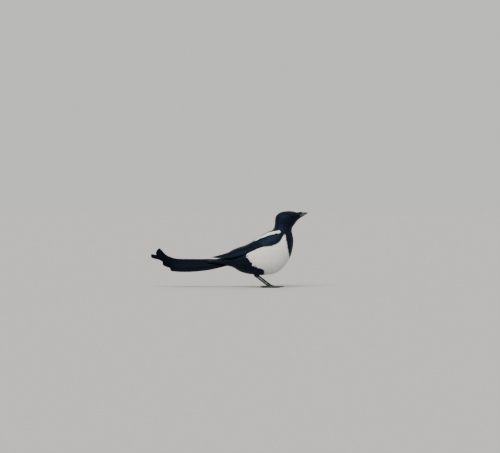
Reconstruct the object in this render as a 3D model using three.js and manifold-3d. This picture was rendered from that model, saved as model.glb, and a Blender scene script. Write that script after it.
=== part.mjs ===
// A Eurasian magpie, life size, standing on both feet with its tail held level: a still model.
// Millimetres. +Z is up, the bill points along +X, the bird's left side is +Y.
// The origin lies on the floor, under the middle of the bird's box.
import * as THREE from "three";
import { mergeVertices } from "three/addons/utils/BufferGeometryUtils.js";
import Module from "manifold-3d";

const wasm = await Module();
wasm.setup();

const degrees = Math.PI / 180;
const gap = 0.3; // kept between pieces that touch
const right = -1;
const left = 1;

// Body ribs from the tail root to the bill. Each one runs across the body between a point of the back
// and a point of the belly, [x, z] in the side view. level is where it is widest, 0 at the belly and
// 1 at the back, and power is its roundness, 2 for an ellipse.
const ribs = [
  { at: "covert tips", back: [-66, 70], belly: [-64, 64], half: 5, level: 0.5, power: 2 },
  { at: "tail coverts", back: [-28, 76], belly: [-26, 58], half: 12.5, level: 0.5, power: 2 },
  { at: "tail root", back: [1, 85], belly: [5, 53], half: 19, level: 0.5, power: 2 },
  { at: "rump and vent", back: [23, 97], belly: [28, 40.5], half: 28, level: 0.52, power: 2.05 },
  { at: "lower back", back: [47, 110], belly: [54, 34], half: 36, level: 0.54, power: 2.1 },
  { at: "back and belly", back: [75, 131], belly: [91, 32], half: 40.5, level: 0.52, power: 2.15 },
  { at: "mantle", back: [96, 143.6], belly: [127, 41.5], half: 41, level: 0.5, power: 2.15 },
  { at: "shoulders", back: [109, 149.2], belly: [155, 74], half: 36.5, level: 0.52, power: 2.1 },
  { at: "neck base", back: [114.3, 156], belly: [166, 117], half: 28, level: 0.52, power: 2 },
  { at: "neck", back: [116.3, 166], belly: [161.8, 149.5], half: 20.8, level: 0.52, power: 2 },
  { at: "nape and throat", back: [117, 178], belly: [169, 164], half: 19.2, level: 0.54, power: 2 },
  { at: "back of head", back: [120.5, 187.5], belly: [176.5, 174], half: 18.6, level: 0.55, power: 2 },
  { at: "crown", back: [134, 196.6], belly: [181.5, 178.6], half: 17.2, level: 0.52, power: 2 },
  { at: "forehead", back: [159, 199.2], belly: [184.6, 181.4], half: 12.6, level: 0.52, power: 2 },
  { at: "bill feathers", back: [177.5, 194.9], belly: [186.6, 183.4], half: 6.4, level: 0.5, power: 2 },
];

// Behind the lower back the folded wings leave the body and close over the tail root.
const wingRibs = [
  { at: "wing tips", back: [-48, 80.5], belly: [-42, 60], half: 13, level: 0.5, power: 2 },
  { at: "primaries", back: [-23, 86.4], belly: [-16, 50], half: 19, level: 0.5, power: 2 },
  { at: "tertial tips", back: [0, 93], belly: [8, 45], half: 25, level: 0.5, power: 2 },
  { at: "rump", back: [23, 101.5], belly: [28, 40.5], half: 31, level: 0.52, power: 2.05 },
  ...ribs.slice(4, 10),
];

const ribSides = 24;
const ringsPerRib = 2;

// Side-view lines that part the body into its named regions, each through two points [x, z].
const cuts = {
  head: [[117, 173], [170, 161]],
  neck: [[111, 150.5], [164, 142.5]],
  breast: [[143.9, 137.5], [157, 76]],
  flank: [[41, 90], [143.9, 141]],
  vent: [[41, 84], [74, 33]],
  tail: [[4, 90], [10, 48]],
};

const bill = {
  lips: 6, // facets across each half
  // x, top, mouth line, bottom and half width from the root to the tip
  stations: [
    { x: 168, top: 193, mouth: 183.6, bottom: 178.6, half: 5.6 },
    { x: 176, top: 194.6, mouth: 185.6, bottom: 179.6, half: 5.8 },
    { x: 184, top: 195.6, mouth: 187.8, bottom: 182.2, half: 5 },
    { x: 191, top: 195.9, mouth: 189.7, bottom: 186.3, half: 3.9 },
    { x: 197, top: 195.5, mouth: 191.3, bottom: 190, half: 2.7 },
    { x: 201.5, top: 194.4, mouth: 192.5, bottom: 192.1, half: 1.5 },
    { x: 204.4, top: 193.1, mouth: 192.6, bottom: 192.3, half: 0.4 },
  ],
};

const eye = { x: 163, z: 187.6, radius: 4.5, proud: 1.5, lid: 0.9 };

const bristles = { perSide: 4, length: 13, width: 3.6, thick: 1 };

// The folded wing lies on the wing ribs. Along is counted in ribs, and across is the angle from the
// middle of the back, in degrees. The outline gives, at each place along, the upper and lower edges.
const wing = {
  outline: [
    { along: 0.9, upper: 15, lower: 60 },
    { along: 2, upper: 10, lower: 72 },
    { along: 3, upper: 10, lower: 70 },
    { along: 4, upper: 14, lower: 64 },
    { along: 5, upper: 29.5, lower: 65 },
    { along: 6, upper: 35.5, lower: 73 },
    { along: 7, upper: 43.5, lower: 80 },
    { along: 7.55, upper: 57, lower: 88 },
    { along: 7.95, upper: 73, lower: 94 },
  ],
  lifts: { inner: -2.4, outer: 1, edge: 0.8 }, // above the body's surface, so inner beds the wing
};

const scapulars = {
  outline: [
    { along: 4.55, upper: 22, lower: 27.5 },
    { along: 5, upper: 20.5, lower: 30.5 },
    { along: 5.7, upper: 20, lower: 34.5 },
    { along: 6.3, upper: 20.5, lower: 37.5 },
    { along: 6.9, upper: 24, lower: 42 },
    { along: 7.4, upper: 31, lower: 53 },
    { along: 7.8, upper: 42, lower: 66 },
    { along: 8.2, upper: 58, lower: 78 },
  ],
  stations: [8.2, 7.8, 7.4, 6.9, 6.3, 5.7, 5, 4.55],
};

// The flight feathers of the folded wing, from the outermost, which forms its lower edge, to the tertials
// on top. Each one covers the upper part of the one below. edges are the places of their free lower
// edges, from 0 at the wing's lower edge to 1 at its upper edge, and tips are where they end, in ribs.
const flight = {
  rows: [
    { name: "primaries", count: 6, edges: [0, 0.28], tips: [0, 1.7] },
    { name: "secondaries", count: 4, edges: [0.36, 0.58], tips: [1.95, 2.4] },
    { name: "tertials", count: 3, edges: [0.66, 0.86], tips: [2.65, 3.4] },
  ],
  stations: [7.95, 7.3, 6.5, 5.7, 4.9, 4.2, 3.7, 3.3, 2.9, 2.5, 2.2, 1.9, 1.6, 1.3, 1, 0.7, 0.4, 0.12],
  tipLength: 0.6,
  fanned: 0.9, // how much further apart the free edges are at the wing tip
  low: -0.6,
  climb: 0.2,
  step: 0.55,
};

// Rows of smaller feathers, each from its first feather to its last: root and tip are [along, across]
// at both ends of the row, and width and lift are in millimetres.
const vaneThick = 0.7;
const rootLift = -0.2;
const wingRows = {
  primaryCoverts: {
    count: 3, width: [8, 8], lift: [1.2, 2],
    root: [[7.1, 77], [6.9, 69]], tip: [[5.7, 68], [5.3, 60]],
  },
  alula: {
    count: 2, width: [6, 7], lift: [1.8, 2.3],
    root: [[7.6, 86], [7.5, 81]], tip: [[6.7, 76], [6.3, 71]],
  },
  greaterCoverts: {
    count: 5, width: [10, 11], lift: [2, 3.2],
    root: [[6.5, 66], [6, 39]], tip: [[5.1, 61], [4.6, 35]],
  },
  medianCoverts: {
    count: 4, width: [10, 10], lift: [2.2, 3.2],
    root: [[7, 72], [6.6, 45]], tip: [[6.1, 65], [5.7, 41]],
  },
  lesserCoverts: {
    count: 3, width: [10, 10], lift: [2.4, 3.1],
    root: [[7.75, 84], [7.2, 55]], tip: [[6.8, 73], [6.5, 49]],
  },
};

const scapularRows = {
  long: {
    count: 3, width: [13, 12], lift: [1.5, 2.3],
    root: [[6.1, 37], [5.9, 26]], tip: [[4.8, 30], [4.6, 24]],
  },
  middle: {
    count: 3, width: [13, 13], lift: [2.2, 3],
    root: [[7.1, 43], [6.8, 28]], tip: [[5.9, 35.5], [5.6, 24]],
  },
  front: {
    count: 2, width: [12, 12], lift: [2.6, 3.1],
    root: [[8.1, 73], [7.8, 50]], tip: [[7.1, 45], [6.8, 29]],
  },
};

// The tail: its middle line in the side view, with the end bent up by the wind, and twelve feathers in
// six pairs that shorten outwards. The fan is rolled about that line, with its right edge down. right
// and left are each feather's place across the fan at its root and at its tip, where curl bends it.
const tail = {
  line: [[10, 68], [-30, 65.5], [-70, 62.4], [-110, 61], [-142, 62.5], [-163, 70], [-182, 80], [-202, 90]],
  rollRoot: 38,
  rollEnd: 59,
  rolledBy: 50,
  layer: 0.64,
  thick: 0.58,
  stations: [0, 25, 50, 80, 110, 140, 152, 164, 176, 190, 205],
  pairs: [
    { length: 222, half: 12.6, right: [-1, -3], left: [0.5, 2], curlRight: -8, curlLeft: 9, shortLeft: 20 },
    { length: 210, half: 12.4, right: [-2.5, -5.5], left: [1.5, 2.6], curlRight: -3, curlLeft: 5, shortLeft: 8 },
    { length: 190, half: 12.2, right: [-4, -8], left: [2, 2.8], curlRight: -1, curlLeft: 0, shortLeft: 0 },
    { length: 186, half: 11.8, right: [-5, -11], left: [2.4, 3], curlRight: 0, curlLeft: 0, shortLeft: 0 },
    { length: 168, half: 11.2, right: [-6, -13], left: [2.8, 3.2], curlRight: 0, curlLeft: 0, shortLeft: 0 },
    { length: 150, half: 10.4, right: [-7, -13.6], left: [3, 3.4], curlRight: 0, curlLeft: 0, shortLeft: 0 },
  ],
};

// Legs. The heel is the joint that bends backwards, and the foot joint is where the toes meet.
const legs = {
  right: { side: right, hip: [79, 25, 54], heel: [63.5, 21, 33], foot: [101, 23, 4.3], turn: 3 },
  left: { side: left, hip: [82, 25, 54], heel: [70, 21, 33], foot: [107, 23.5, 4.3], turn: 9 },
};
const thighRadii = [15.5, 14.5, 11, 7, 4.6];
const tarsus = { depth: 2.2, width: 1.75, heelKnob: 3.1, footKnob: 2.9, scutes: 8, scuteRise: 0.4 };
const toes = [
  { name: "hind", turn: 177, length: 17, claw: 11, radius: 2.5, scutes: 2 },
  { name: "inner", turn: 25, length: 19, claw: 8, radius: 2.2, scutes: 3 },
  { name: "middle", turn: 1, length: 27.5, claw: 9.5, radius: 2.4, scutes: 4 },
  { name: "outer", turn: -24, length: 21, claw: 8, radius: 2.2, scutes: 3 },
];
const legSides = 8;
const toeSides = 6;

const paint = (color, roughness, metalness = 0) =>
  new THREE.MeshStandardMaterial({ color, roughness, metalness });
const blackPlumage = paint(0x14161b, 0.6);
const whitePlumage = paint(0xe4e5e0, 0.8);
const wingGloss = paint(0x1b2c38, 0.4);
const tailGloss = paint(0x141f21, 0.4);
const horn = paint(0x26282b, 0.35);
const legSkin = paint(0x232227, 0.55);
const eyeGloss = paint(0x1a100a, 0.08);

// Solids

function indexed(points, faces) {
  const geometry = new THREE.BufferGeometry();
  geometry.setAttribute("position", new THREE.Float32BufferAttribute(points.flatMap((p) => p.toArray()), 3));
  geometry.setIndex(faces.flat());
  return geometry;
}

// A geometry as a closed solid. One that came out mirrored is turned the right way out.
function solid(geometry) {
  const bare = geometry.clone();
  bare.deleteAttribute("normal");
  bare.deleteAttribute("uv");
  const merged = mergeVertices(bare, 1e-4);
  const vertProperties = new Float32Array(merged.attributes.position.array);
  const corners = [...merged.index.array];
  const whole = (_, i) => {
    const face = corners.slice(i - (i % 3), i - (i % 3) + 3);
    return new Set(face).size === 3;
  };
  const triVerts = new Uint32Array(corners.filter(whole));
  const made = new wasm.Manifold(new wasm.Mesh({ numProp: 3, vertProperties, triVerts }));
  if (made.volume() >= 0) return made;
  const turned = triVerts.map((_, i) => triVerts[i % 3 === 0 ? i : i % 3 === 1 ? i + 1 : i - 1]);
  return new wasm.Manifold(new wasm.Mesh({ numProp: 3, vertProperties, triVerts: turned }));
}

function geometryOf(manifold) {
  const mesh = manifold.getMesh();
  const geometry = new THREE.BufferGeometry();
  geometry.setAttribute("position", new THREE.Float32BufferAttribute(mesh.vertProperties, 3));
  geometry.setIndex(Array.from(mesh.triVerts));
  return geometry;
}

const join = (pieces) => pieces.reduce((whole, piece) => whole.add(piece));
const largest = (manifold) =>
  manifold.decompose().reduce((best, body) => (body.volume() > best.volume() ? body : best));

// Rings of points joined into a closed tube, with a fan over each end.
function loft(rings) {
  const sides = rings[0].length;
  const points = rings.flat();
  const faces = [];
  for (let r = 0; r + 1 < rings.length; r++) {
    for (let i = 0; i < sides; i++) {
      const a = r * sides + i;
      const b = r * sides + ((i + 1) % sides);
      faces.push([a, b, b + sides], [a, b + sides, a + sides]);
    }
  }
  for (const [first, turned] of [[0, true], [(rings.length - 1) * sides, false]]) {
    const hub = points.length;
    const ring = points.slice(first, first + sides);
    points.push(ring.reduce((sum, p) => sum.add(p), new THREE.Vector3()).divideScalar(sides));
    for (let i = 0; i < sides; i++) {
      const a = first + i;
      const b = first + ((i + 1) % sides);
      faces.push(turned ? [hub, b, a] : [hub, a, b]);
    }
  }
  return indexed(points, faces);
}

// The same solid grown outwards along the normals of its corners.
function grown(manifold, distance) {
  const geometry = mergeVertices(geometryOf(manifold), 1e-4);
  geometry.computeVertexNormals();
  const place = geometry.attributes.position;
  const normal = geometry.attributes.normal;
  for (let i = 0; i < place.count; i++) {
    const corner = new THREE.Vector3().fromBufferAttribute(place, i);
    const out = new THREE.Vector3().fromBufferAttribute(normal, i);
    place.setXYZ(i, ...corner.addScaledVector(out, distance));
  }
  return solid(geometry);
}

// Everything on one side of a side-view line, kept half a gap away from it.
function beside(line, ahead) {
  const [[x1, z1], [x2, z2]] = line;
  const along = new THREE.Vector3(x2 - x1, 0, z2 - z1).normalize();
  const across = new THREE.Vector3(-along.z, 0, along.x).multiplyScalar(ahead);
  const size = 900;
  const middle = new THREE.Vector3(x1, 0, z1).addScaledVector(across, size / 2 + gap / 2);
  const box = new THREE.BoxGeometry(size, size, size);
  box.rotateY(-Math.atan2(along.z, along.x));
  box.translate(middle.x, middle.y, middle.z);
  return solid(box);
}

// Ribs and the surface through them

function catmullRom(a, b, c, d, t) {
  const v0 = (c - a) / 2;
  const v1 = (d - b) / 2;
  return (2 * b - 2 * c + v0 + v1) * t ** 3 + (3 * c - 3 * b - 2 * v0 - v1) * t ** 2 + v0 * t + b;
}

function between(values, at) {
  const last = values.length - 1;
  const i = Math.min(Math.max(Math.floor(at), 0), last - 1);
  const pick = (k) => values[Math.min(Math.max(k, 0), last)];
  return catmullRom(pick(i - 1), pick(i), pick(i + 1), pick(i + 2), at - i);
}

function ribAt(table, along) {
  const read = (value) => between(table.map(value), along);
  return {
    back: [read((r) => r.back[0]), read((r) => r.back[1])],
    belly: [read((r) => r.belly[0]), read((r) => r.belly[1])],
    half: read((r) => r.half),
    level: read((r) => r.level),
    power: read((r) => r.power),
  };
}

function onRib(rib, angle) {
  const c = Math.cos(angle);
  const s = Math.sin(angle);
  const round = 2 / rib.power;
  const q = (1 + Math.sign(c) * Math.abs(c) ** round) / 2;
  const height = q + 4 * (rib.level - 0.5) * q * (1 - q);
  return new THREE.Vector3(
    THREE.MathUtils.lerp(rib.belly[0], rib.back[0], height),
    rib.half * Math.sign(s) * Math.abs(s) ** round,
    THREE.MathUtils.lerp(rib.belly[1], rib.back[1], height),
  );
}

// A point of the surface, with its outward direction. across is in degrees, positive to the left.
function onBody(table, along, across, lift = 0) {
  const angle = across * degrees;
  const step = 0.02;
  const point = onRib(ribAt(table, along), angle);
  const alongWay = onRib(ribAt(table, along + step), angle).sub(onRib(ribAt(table, along - step), angle));
  const acrossWay = onRib(ribAt(table, along), angle + step).sub(onRib(ribAt(table, along), angle - step));
  const out = acrossWay.clone().cross(alongWay).normalize();
  const rib = ribAt(table, along);
  const middle = new THREE.Vector3((rib.back[0] + rib.belly[0]) / 2, 0, (rib.back[1] + rib.belly[1]) / 2);
  if (out.dot(point.clone().sub(middle)) < 0) out.negate();
  return { point: point.addScaledVector(out, lift), out, perRadian: acrossWay.length() / (2 * step) };
}

function bodyLoft() {
  const rings = [];
  const count = (ribs.length - 1) * ringsPerRib;
  for (let r = 0; r <= count; r++) {
    const rib = ribAt(ribs, r / ringsPerRib);
    const ring = [];
    for (let i = 0; i < ribSides; i++) ring.push(onRib(rib, (i * 2 * Math.PI) / ribSides));
    rings.push(ring);
  }
  return loft(rings);
}

// An edge of an outline, read at a place along the body.
function edgeAt(outline, along, key) {
  const i = outline.findIndex((o) => o.along >= along);
  if (i <= 0) return i === 0 ? outline[0][key] : outline.at(-1)[key];
  const [a, b] = [outline[i - 1], outline[i]];
  return THREE.MathUtils.lerp(a[key], b[key], (along - a.along) / (b.along - a.along));
}

// A closed slab that follows the ribs inside an outline, from one lift to another.
function slab(table, outline, side, lifts, stations) {
  const columns = 3;
  const rings = stations.map((along) => {
    const upper = edgeAt(outline, along, "upper");
    const lower = edgeAt(outline, along, "lower");
    const strip = (lift, turned) => {
      const points = [];
      for (let i = 0; i <= columns; i++) {
        const k = turned ? columns - i : i;
        const across = side * THREE.MathUtils.lerp(upper, lower, k / columns);
        const rounding = lift > 0 && (k === 0 || k === columns) ? lifts.edge ?? lift : lift;
        points.push(onBody(table, along, across, rounding).point);
      }
      return points;
    };
    return [...strip(lifts.outer, false), ...strip(lifts.inner, true)];
  });
  return solid(loft(rings));
}

// Feathers

// A vane is a list of cross rows from its root to its tip. A row holds a few points, their outward
// directions and how thick the vane is there, and both faces are split into triangles alike.
function vane(rows) {
  const wide = rows[0].points.length;
  const points = [];
  const faces = [];
  for (const { points: spots, outs, thick } of rows) {
    for (const face of [0.5, -0.5]) {
      spots.forEach((spot, i) => points.push(spot.clone().addScaledVector(outs[i], face * thick)));
    }
  }
  const ring = [...Array(wide).keys(), ...[...Array(wide).keys()].map((i) => 2 * wide - 1 - i)];
  for (let r = 0; r + 1 < rows.length; r++) {
    const here = r * 2 * wide;
    const next = here + 2 * wide;
    ring.forEach((a, k) => {
      const b = ring[(k + 1) % ring.length];
      const under = a >= wide && b >= wide;
      const split = under ? [[here + a, here + b, next + a], [here + b, next + b, next + a]]
        : [[here + a, here + b, next + b], [here + a, next + b, next + a]];
      faces.push(...split);
    });
  }
  const end = (rows.length - 1) * 2 * wide;
  for (let k = 1; k < ring.length - 1; k++) {
    faces.push([ring[0], ring[k + 1], ring[k]]);
    faces.push([end + ring[0], end + ring[k], end + ring[k + 1]]);
  }
  return solid(indexed(points, faces));
}

// Shares of a vane's length, and how wide it is there.
const shortOutline = [[0, 0.7], [0.6, 1], [1, 0.35]];
const tailEnds = [[-26, 1], [-9, 0.8], [0, 0.35]]; // distances from the tip, and how wide it is there

function drawing(seed) {
  let state = seed;
  return () => {
    state = (state * 1664525 + 1013904223) % 4294967296;
    return state / 4294967296 - 0.5;
  };
}

// One feather that lies on the ribs. Its root is sunk in what is under it.
function lyingVane(table, side, { root, tip, width, lift, outline }) {
  const rows = outline.map(([share, wide]) => {
    const along = THREE.MathUtils.lerp(root[0], tip[0], share);
    const across = THREE.MathUtils.lerp(root[1], tip[1], share);
    const raised = THREE.MathUtils.lerp(rootLift, lift, THREE.MathUtils.smoothstep(share, 0, 0.5));
    const reach = ((width / 2) * wide) / (onBody(table, along, side * across).perRadian * degrees);
    const spots = [-1, 1].map((way) => onBody(table, along, side * (across + way * reach), raised));
    return { points: spots.map((s) => s.point), outs: spots.map((s) => s.out), thick: vaneThick };
  });
  return vane(rows);
}

function rowOfVanes(table, side, row, outline, draw) {
  const made = [];
  for (let i = 0; i < row.count; i++) {
    const share = row.count > 1 ? i / (row.count - 1) : 0.5;
    const mix = (a, b) => THREE.MathUtils.lerp(a, b, share);
    const spot = ([a, b]) => [mix(a[0], b[0]) + 0.05 * draw(), mix(a[1], b[1]) + 1.2 * draw()];
    made.push(
      lyingVane(table, side, {
        root: spot(row.root),
        tip: spot(row.tip),
        width: mix(...row.width),
        lift: mix(...row.lift),
        outline,
      }),
    );
  }
  return made;
}

// Whole pieces

function makeBody() {
  const whole = solid(bodyLoft());
  const above = (line) => beside(line, 1);
  const below = (line) => beside(line, -1);
  const headAndNeck = whole.intersect(above(cuts.neck));
  const trunk = whole.intersect(below(cuts.neck)).intersect(above(cuts.tail));
  const behindBreast = trunk.intersect(below(cuts.breast));
  const under = behindBreast.intersect(below(cuts.flank));
  return {
    head: headAndNeck.intersect(above(cuts.head)),
    neck: headAndNeck.intersect(below(cuts.head)),
    breast: trunk.intersect(above(cuts.breast)),
    back: behindBreast.intersect(above(cuts.flank)),
    belly: under.intersect(above(cuts.vent)),
    vent: under.intersect(below(cuts.vent)),
    tailRoot: whole.intersect(below(cuts.tail)),
  };
}

// Free edges of the flight feathers at one place along the wing, as shares from its lower edge to its
// upper edge. At its tip a feather's edge curves up to the upper edge, and past its tip it stays there.
function freeEdges(along) {
  const fanned = 1 + flight.fanned * THREE.MathUtils.clamp((4 - along) / 3.5, 0, 1);
  return flight.rows.flatMap(({ count, edges, tips }) =>
    [...Array(count).keys()].map((i) => {
      const share = i / (count - 1);
      const edge = Math.min(THREE.MathUtils.lerp(...edges, share) * fanned, 0.96);
      const tip = THREE.MathUtils.lerp(...tips, share);
      const past = THREE.MathUtils.clamp((tip + flight.tipLength - along) / flight.tipLength, 0, 1);
      return edge + (1 - edge) * past ** 2;
    }),
  );
}

// The folded wing without its coverts: a closed sheet whose outer face steps down at each free edge.
function foldedWing(side) {
  const rings = flight.stations.map((along) => {
    const upper = edgeAt(wing.outline, along, "upper");
    const lower = edgeAt(wing.outline, along, "lower");
    const place = (share, lift) =>
      onBody(wingRibs, along, side * THREE.MathUtils.lerp(lower, upper, share), lift).point;
    const edges = freeEdges(along);
    const covered = THREE.MathUtils.smoothstep(along, 4.6, 6.4);
    const step = flight.step * (1 - covered);
    const climb = flight.climb * (1 - 0.6 * covered);
    let low = flight.low;
    const ring = edges.flatMap((edge, i) => {
      const next = edges[i + 1] ?? 1;
      if (edge < 1) low = flight.low + i * climb;
      const free = low + step * Math.min((next - edge) / 0.03, 1);
      return [place(edge, free), place(next, low)];
    });
    const inner = THREE.MathUtils.lerp(-1.3, wing.lifts.inner, THREE.MathUtils.smoothstep(along, 0.3, 2));
    for (const share of [1, 0.67, 0.33, 0]) {
      ring.push(place(THREE.MathUtils.lerp(edges[0], 1, share), inner));
    }
    return ring;
  });
  return solid(loft(rings));
}

function makeWing(side) {
  const draw = drawing(side === right ? 11 : 23);
  const coverts = Object.values(wingRows).flatMap((row) =>
    rowOfVanes(wingRibs, side, row, shortOutline, draw),
  );
  return foldedWing(side).add(join(coverts).subtract(bodyRoom));
}

function makeScapulars(side) {
  const draw = drawing(side === right ? 31 : 47);
  const vanes = Object.values(scapularRows).flatMap((row) =>
    rowOfVanes(wingRibs, side, row, shortOutline, draw),
  );
  const { outline, stations } = scapulars;
  const field = grown(slab(wingRibs, outline, side, { inner: -1, outer: 4 }, stations), gap / 2);
  return slab(wingRibs, outline, side, wing.lifts, stations).add(join(vanes).intersect(field));
}

// The room that a wing and its scapulars take out of the body.
function wingBed(side) {
  const bed = (outline, stations) => grown(slab(wingRibs, outline, side, wing.lifts, stations), gap);
  const bedded = flight.stations.filter((along) => along > 2.4);
  return bed(wing.outline, bedded).add(bed(scapulars.outline, scapulars.stations));
}

const tailLine = new THREE.CatmullRomCurve3(tail.line.map(([x, z]) => new THREE.Vector3(x, 0, z)));

// A place on the fan of the tail: a distance along it, an offset across it and a lift above it.
function onTail(distance, offset, lift) {
  const share = Math.min(distance / tailLine.getLength(), 1);
  const ahead = tailLine.getTangentAt(share);
  const beyond = Math.max(distance - tailLine.getLength(), 0);
  const rolled = THREE.MathUtils.smoothstep(distance, 0, tail.rolledBy);
  const roll = THREE.MathUtils.lerp(tail.rollRoot, tail.rollEnd, rolled) * degrees;
  const across = new THREE.Vector3(0, Math.cos(roll), Math.sin(roll));
  const out = across.clone().cross(ahead).normalize();
  if (out.z < 0) out.negate();
  const point = tailLine.getPointAt(share).addScaledVector(ahead, beyond);
  return { point: point.addScaledVector(across, offset).addScaledVector(out, lift), out };
}

// One tail feather. Each pair lies under the pair inside it, and the right one under the left one.
function makeTailFeather(pair, order, side) {
  const offset = side === right ? pair.right : pair.left;
  const curl = side === right ? pair.curlRight : pair.curlLeft;
  const length = side === right ? pair.length : pair.length - pair.shortLeft;
  const layer = (5 - 2 * order + (side === left ? 0.5 : -0.5)) * tail.layer;
  const distances = tail.stations.filter((at) => at < length - 32).map((at) => [at, 1]);
  const ends = tailEnds.map(([at, wide]) => [length + at, wide]);
  const rows = [...distances, ...ends].map(([distance, narrow]) => {
    const share = distance / length;
    const half = pair.half * narrow * THREE.MathUtils.lerp(0.45, 1, THREE.MathUtils.smoothstep(share, 0, 0.6));
    const bent = curl * THREE.MathUtils.smoothstep(share, 0.75, 1.02);
    const middle = THREE.MathUtils.lerp(offset[0], offset[1], share) + bent;
    const spots = [-half, half].map((reach) => onTail(distance, middle + reach, layer));
    return { points: spots.map((s) => s.point), outs: spots.map((s) => s.out), thick: tail.thick };
  });
  return vane(rows);
}

function makeTail(root) {
  const feathers = tail.pairs.flatMap((pair, order) =>
    [right, left].map((side) => makeTailFeather(pair, order, side)),
  );
  return join([root, ...feathers]).intersect(beside(cuts.tail, -1));
}

// Half of the bill: above the mouth line, or below it.
function billHalf(upper) {
  const rings = bill.stations.map(({ x, top, mouth, bottom, half }) => {
    const inset = x > 202 ? 0.05 : gap / 2;
    const flat = mouth + (upper ? inset : -inset);
    const far = upper ? Math.max(top, flat + 0.3) : Math.min(bottom, flat - 0.3);
    const ring = [];
    for (let i = 0; i <= bill.lips; i++) {
      const angle = (i * Math.PI) / bill.lips;
      ring.push(new THREE.Vector3(x, half * Math.cos(angle), flat + (far - flat) * Math.sin(angle) ** 0.8));
    }
    return ring;
  });
  return solid(loft(upper ? rings : rings.slice(0, -1)));
}

function makeHead(core) {
  const pieces = [core];
  const sockets = [];
  const eyes = {};
  for (const side of [right, left]) {
    const spot = surfaceAt(eye.x, eye.z, side);
    const centre = spot.point.clone().addScaledVector(spot.out, eye.proud - eye.radius);
    const lid = new THREE.TorusGeometry(eye.radius * 0.93, eye.lid, 4, 12);
    const turn = new THREE.Quaternion().setFromUnitVectors(new THREE.Vector3(0, 0, 1), spot.out);
    lid.applyQuaternion(turn);
    const seat = centre.clone().addScaledVector(spot.out, eye.radius * 0.42);
    lid.translate(seat.x, seat.y, seat.z);
    pieces.push(solid(lid));
    sockets.push(ball(centre, eye.radius + gap));
    eyes[side] = ball(centre, eye.radius);
    pieces.push(...makeBristles(side));
  }
  const billRoom = grown(billHalf(true), gap).add(grown(billHalf(false), gap));
  const head = join(pieces).subtract(billRoom);
  return { head: sockets.reduce((made, socket) => made.subtract(socket), head), eyes };
}

// The stiff feathers that lie forwards over the nostrils.
function makeBristles(side) {
  const made = [];
  for (let i = 0; i < bristles.perSide; i++) {
    const share = i / (bristles.perSide - 1);
    const start = new THREE.Vector3(170.5 - share, side * (2 + 4.6 * share), 196.2 - 6 * share);
    const way = new THREE.Vector3(1, -side * 0.12 * share, -0.16 - 0.1 * share).normalize();
    const out = new THREE.Vector3(0.15, side * (0.25 + share), 1 - 0.75 * share).normalize();
    const across = way.clone().cross(out).normalize();
    const rows = [[0, 0.9], [0.6, 0.9], [1, 0.2]].map(([along, wide]) => {
      const middle = start.clone().addScaledVector(way, bristles.length * along);
      middle.addScaledVector(out, -1.6 * along ** 2);
      const reach = (wide * bristles.width) / 2;
      return {
        points: [-reach, reach].map((k) => middle.clone().addScaledVector(across, k)),
        outs: [out, out],
        thick: bristles.thick,
      };
    });
    made.push(vane(rows));
  }
  return made;
}

function ball(centre, radius) {
  const sphere = new THREE.SphereGeometry(radius, 12, 8);
  sphere.rotateX(Math.PI / 2);
  sphere.translate(centre.x, centre.y, centre.z);
  return solid(sphere);
}

// The place on the head's side that the side view shows at x, z.
function surfaceAt(x, z, side) {
  let best = null;
  for (let along = 11; along < 14; along += 0.02) {
    for (let across = 20; across < 130; across += 0.5) {
      const point = onRib(ribAt(ribs, along), across * degrees);
      const miss = Math.hypot(point.x - x, point.z - z);
      if (!best || miss < best.miss) best = { miss, along, across };
    }
  }
  return onBody(ribs, best.along, side * best.across);
}

// Rings round a line of points, with a width and a depth at each.
function tube(points, sizes, sides) {
  const rings = points.map((point, i) => {
    const before = points[Math.max(i - 1, 0)];
    const after = points[Math.min(i + 1, points.length - 1)];
    const way = after.clone().sub(before).normalize();
    const sideways = new THREE.Vector3(-way.y, way.x, 0);
    if (sideways.length() < 0.05) sideways.set(0, 1, 0);
    sideways.normalize();
    const up = way.clone().cross(sideways).normalize();
    if (up.z < 0) up.negate();
    const ring = [];
    for (let k = 0; k < sides; k++) {
      const angle = ((k + 0.5) * 2 * Math.PI) / sides;
      const high = Math.sin(angle) > 0 ? sizes[i].rise ?? 0 : 0;
      ring.push(
        point.clone()
          .addScaledVector(sideways, sizes[i].width * Math.cos(angle))
          .addScaledVector(up, (sizes[i].depth + high) * Math.sin(angle)),
      );
    }
    return ring;
  });
  return loft(rings);
}

const spotOf = ([x, y, z], side) => new THREE.Vector3(x, side * y, z);

function makeThigh(leg, body) {
  const hip = spotOf(leg.hip, leg.side);
  const heel = spotOf(leg.heel, leg.side);
  const points = thighRadii.map((_, i) => hip.clone().lerp(heel, i / (thighRadii.length - 1)));
  const sizes = thighRadii.map((radius) => ({ width: radius * 0.82, depth: radius }));
  return solid(tube(points, sizes, 14)).subtract(body);
}

function makeTarsus(leg) {
  const heel = spotOf(leg.heel, leg.side);
  const foot = spotOf(leg.foot, leg.side);
  const points = [];
  const sizes = [];
  const add = (share, width, depth, rise = 0) => {
    points.push(heel.clone().lerp(foot, share));
    sizes.push({ width, depth, rise });
  };
  const { heelKnob, footKnob, width, depth, scutes, scuteRise } = tarsus;
  add(0.02, heelKnob * 0.6, heelKnob * 0.7);
  add(0.06, heelKnob * 0.85, heelKnob);
  for (let i = 0; i < scutes; i++) {
    const start = 0.12 + (0.76 * i) / scutes;
    add(start, width, depth, scuteRise);
    add(start + 0.08, width, depth, 0);
  }
  add(0.93, footKnob * 0.75, footKnob * 0.85);
  return solid(tube(points, sizes, legSides));
}

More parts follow.
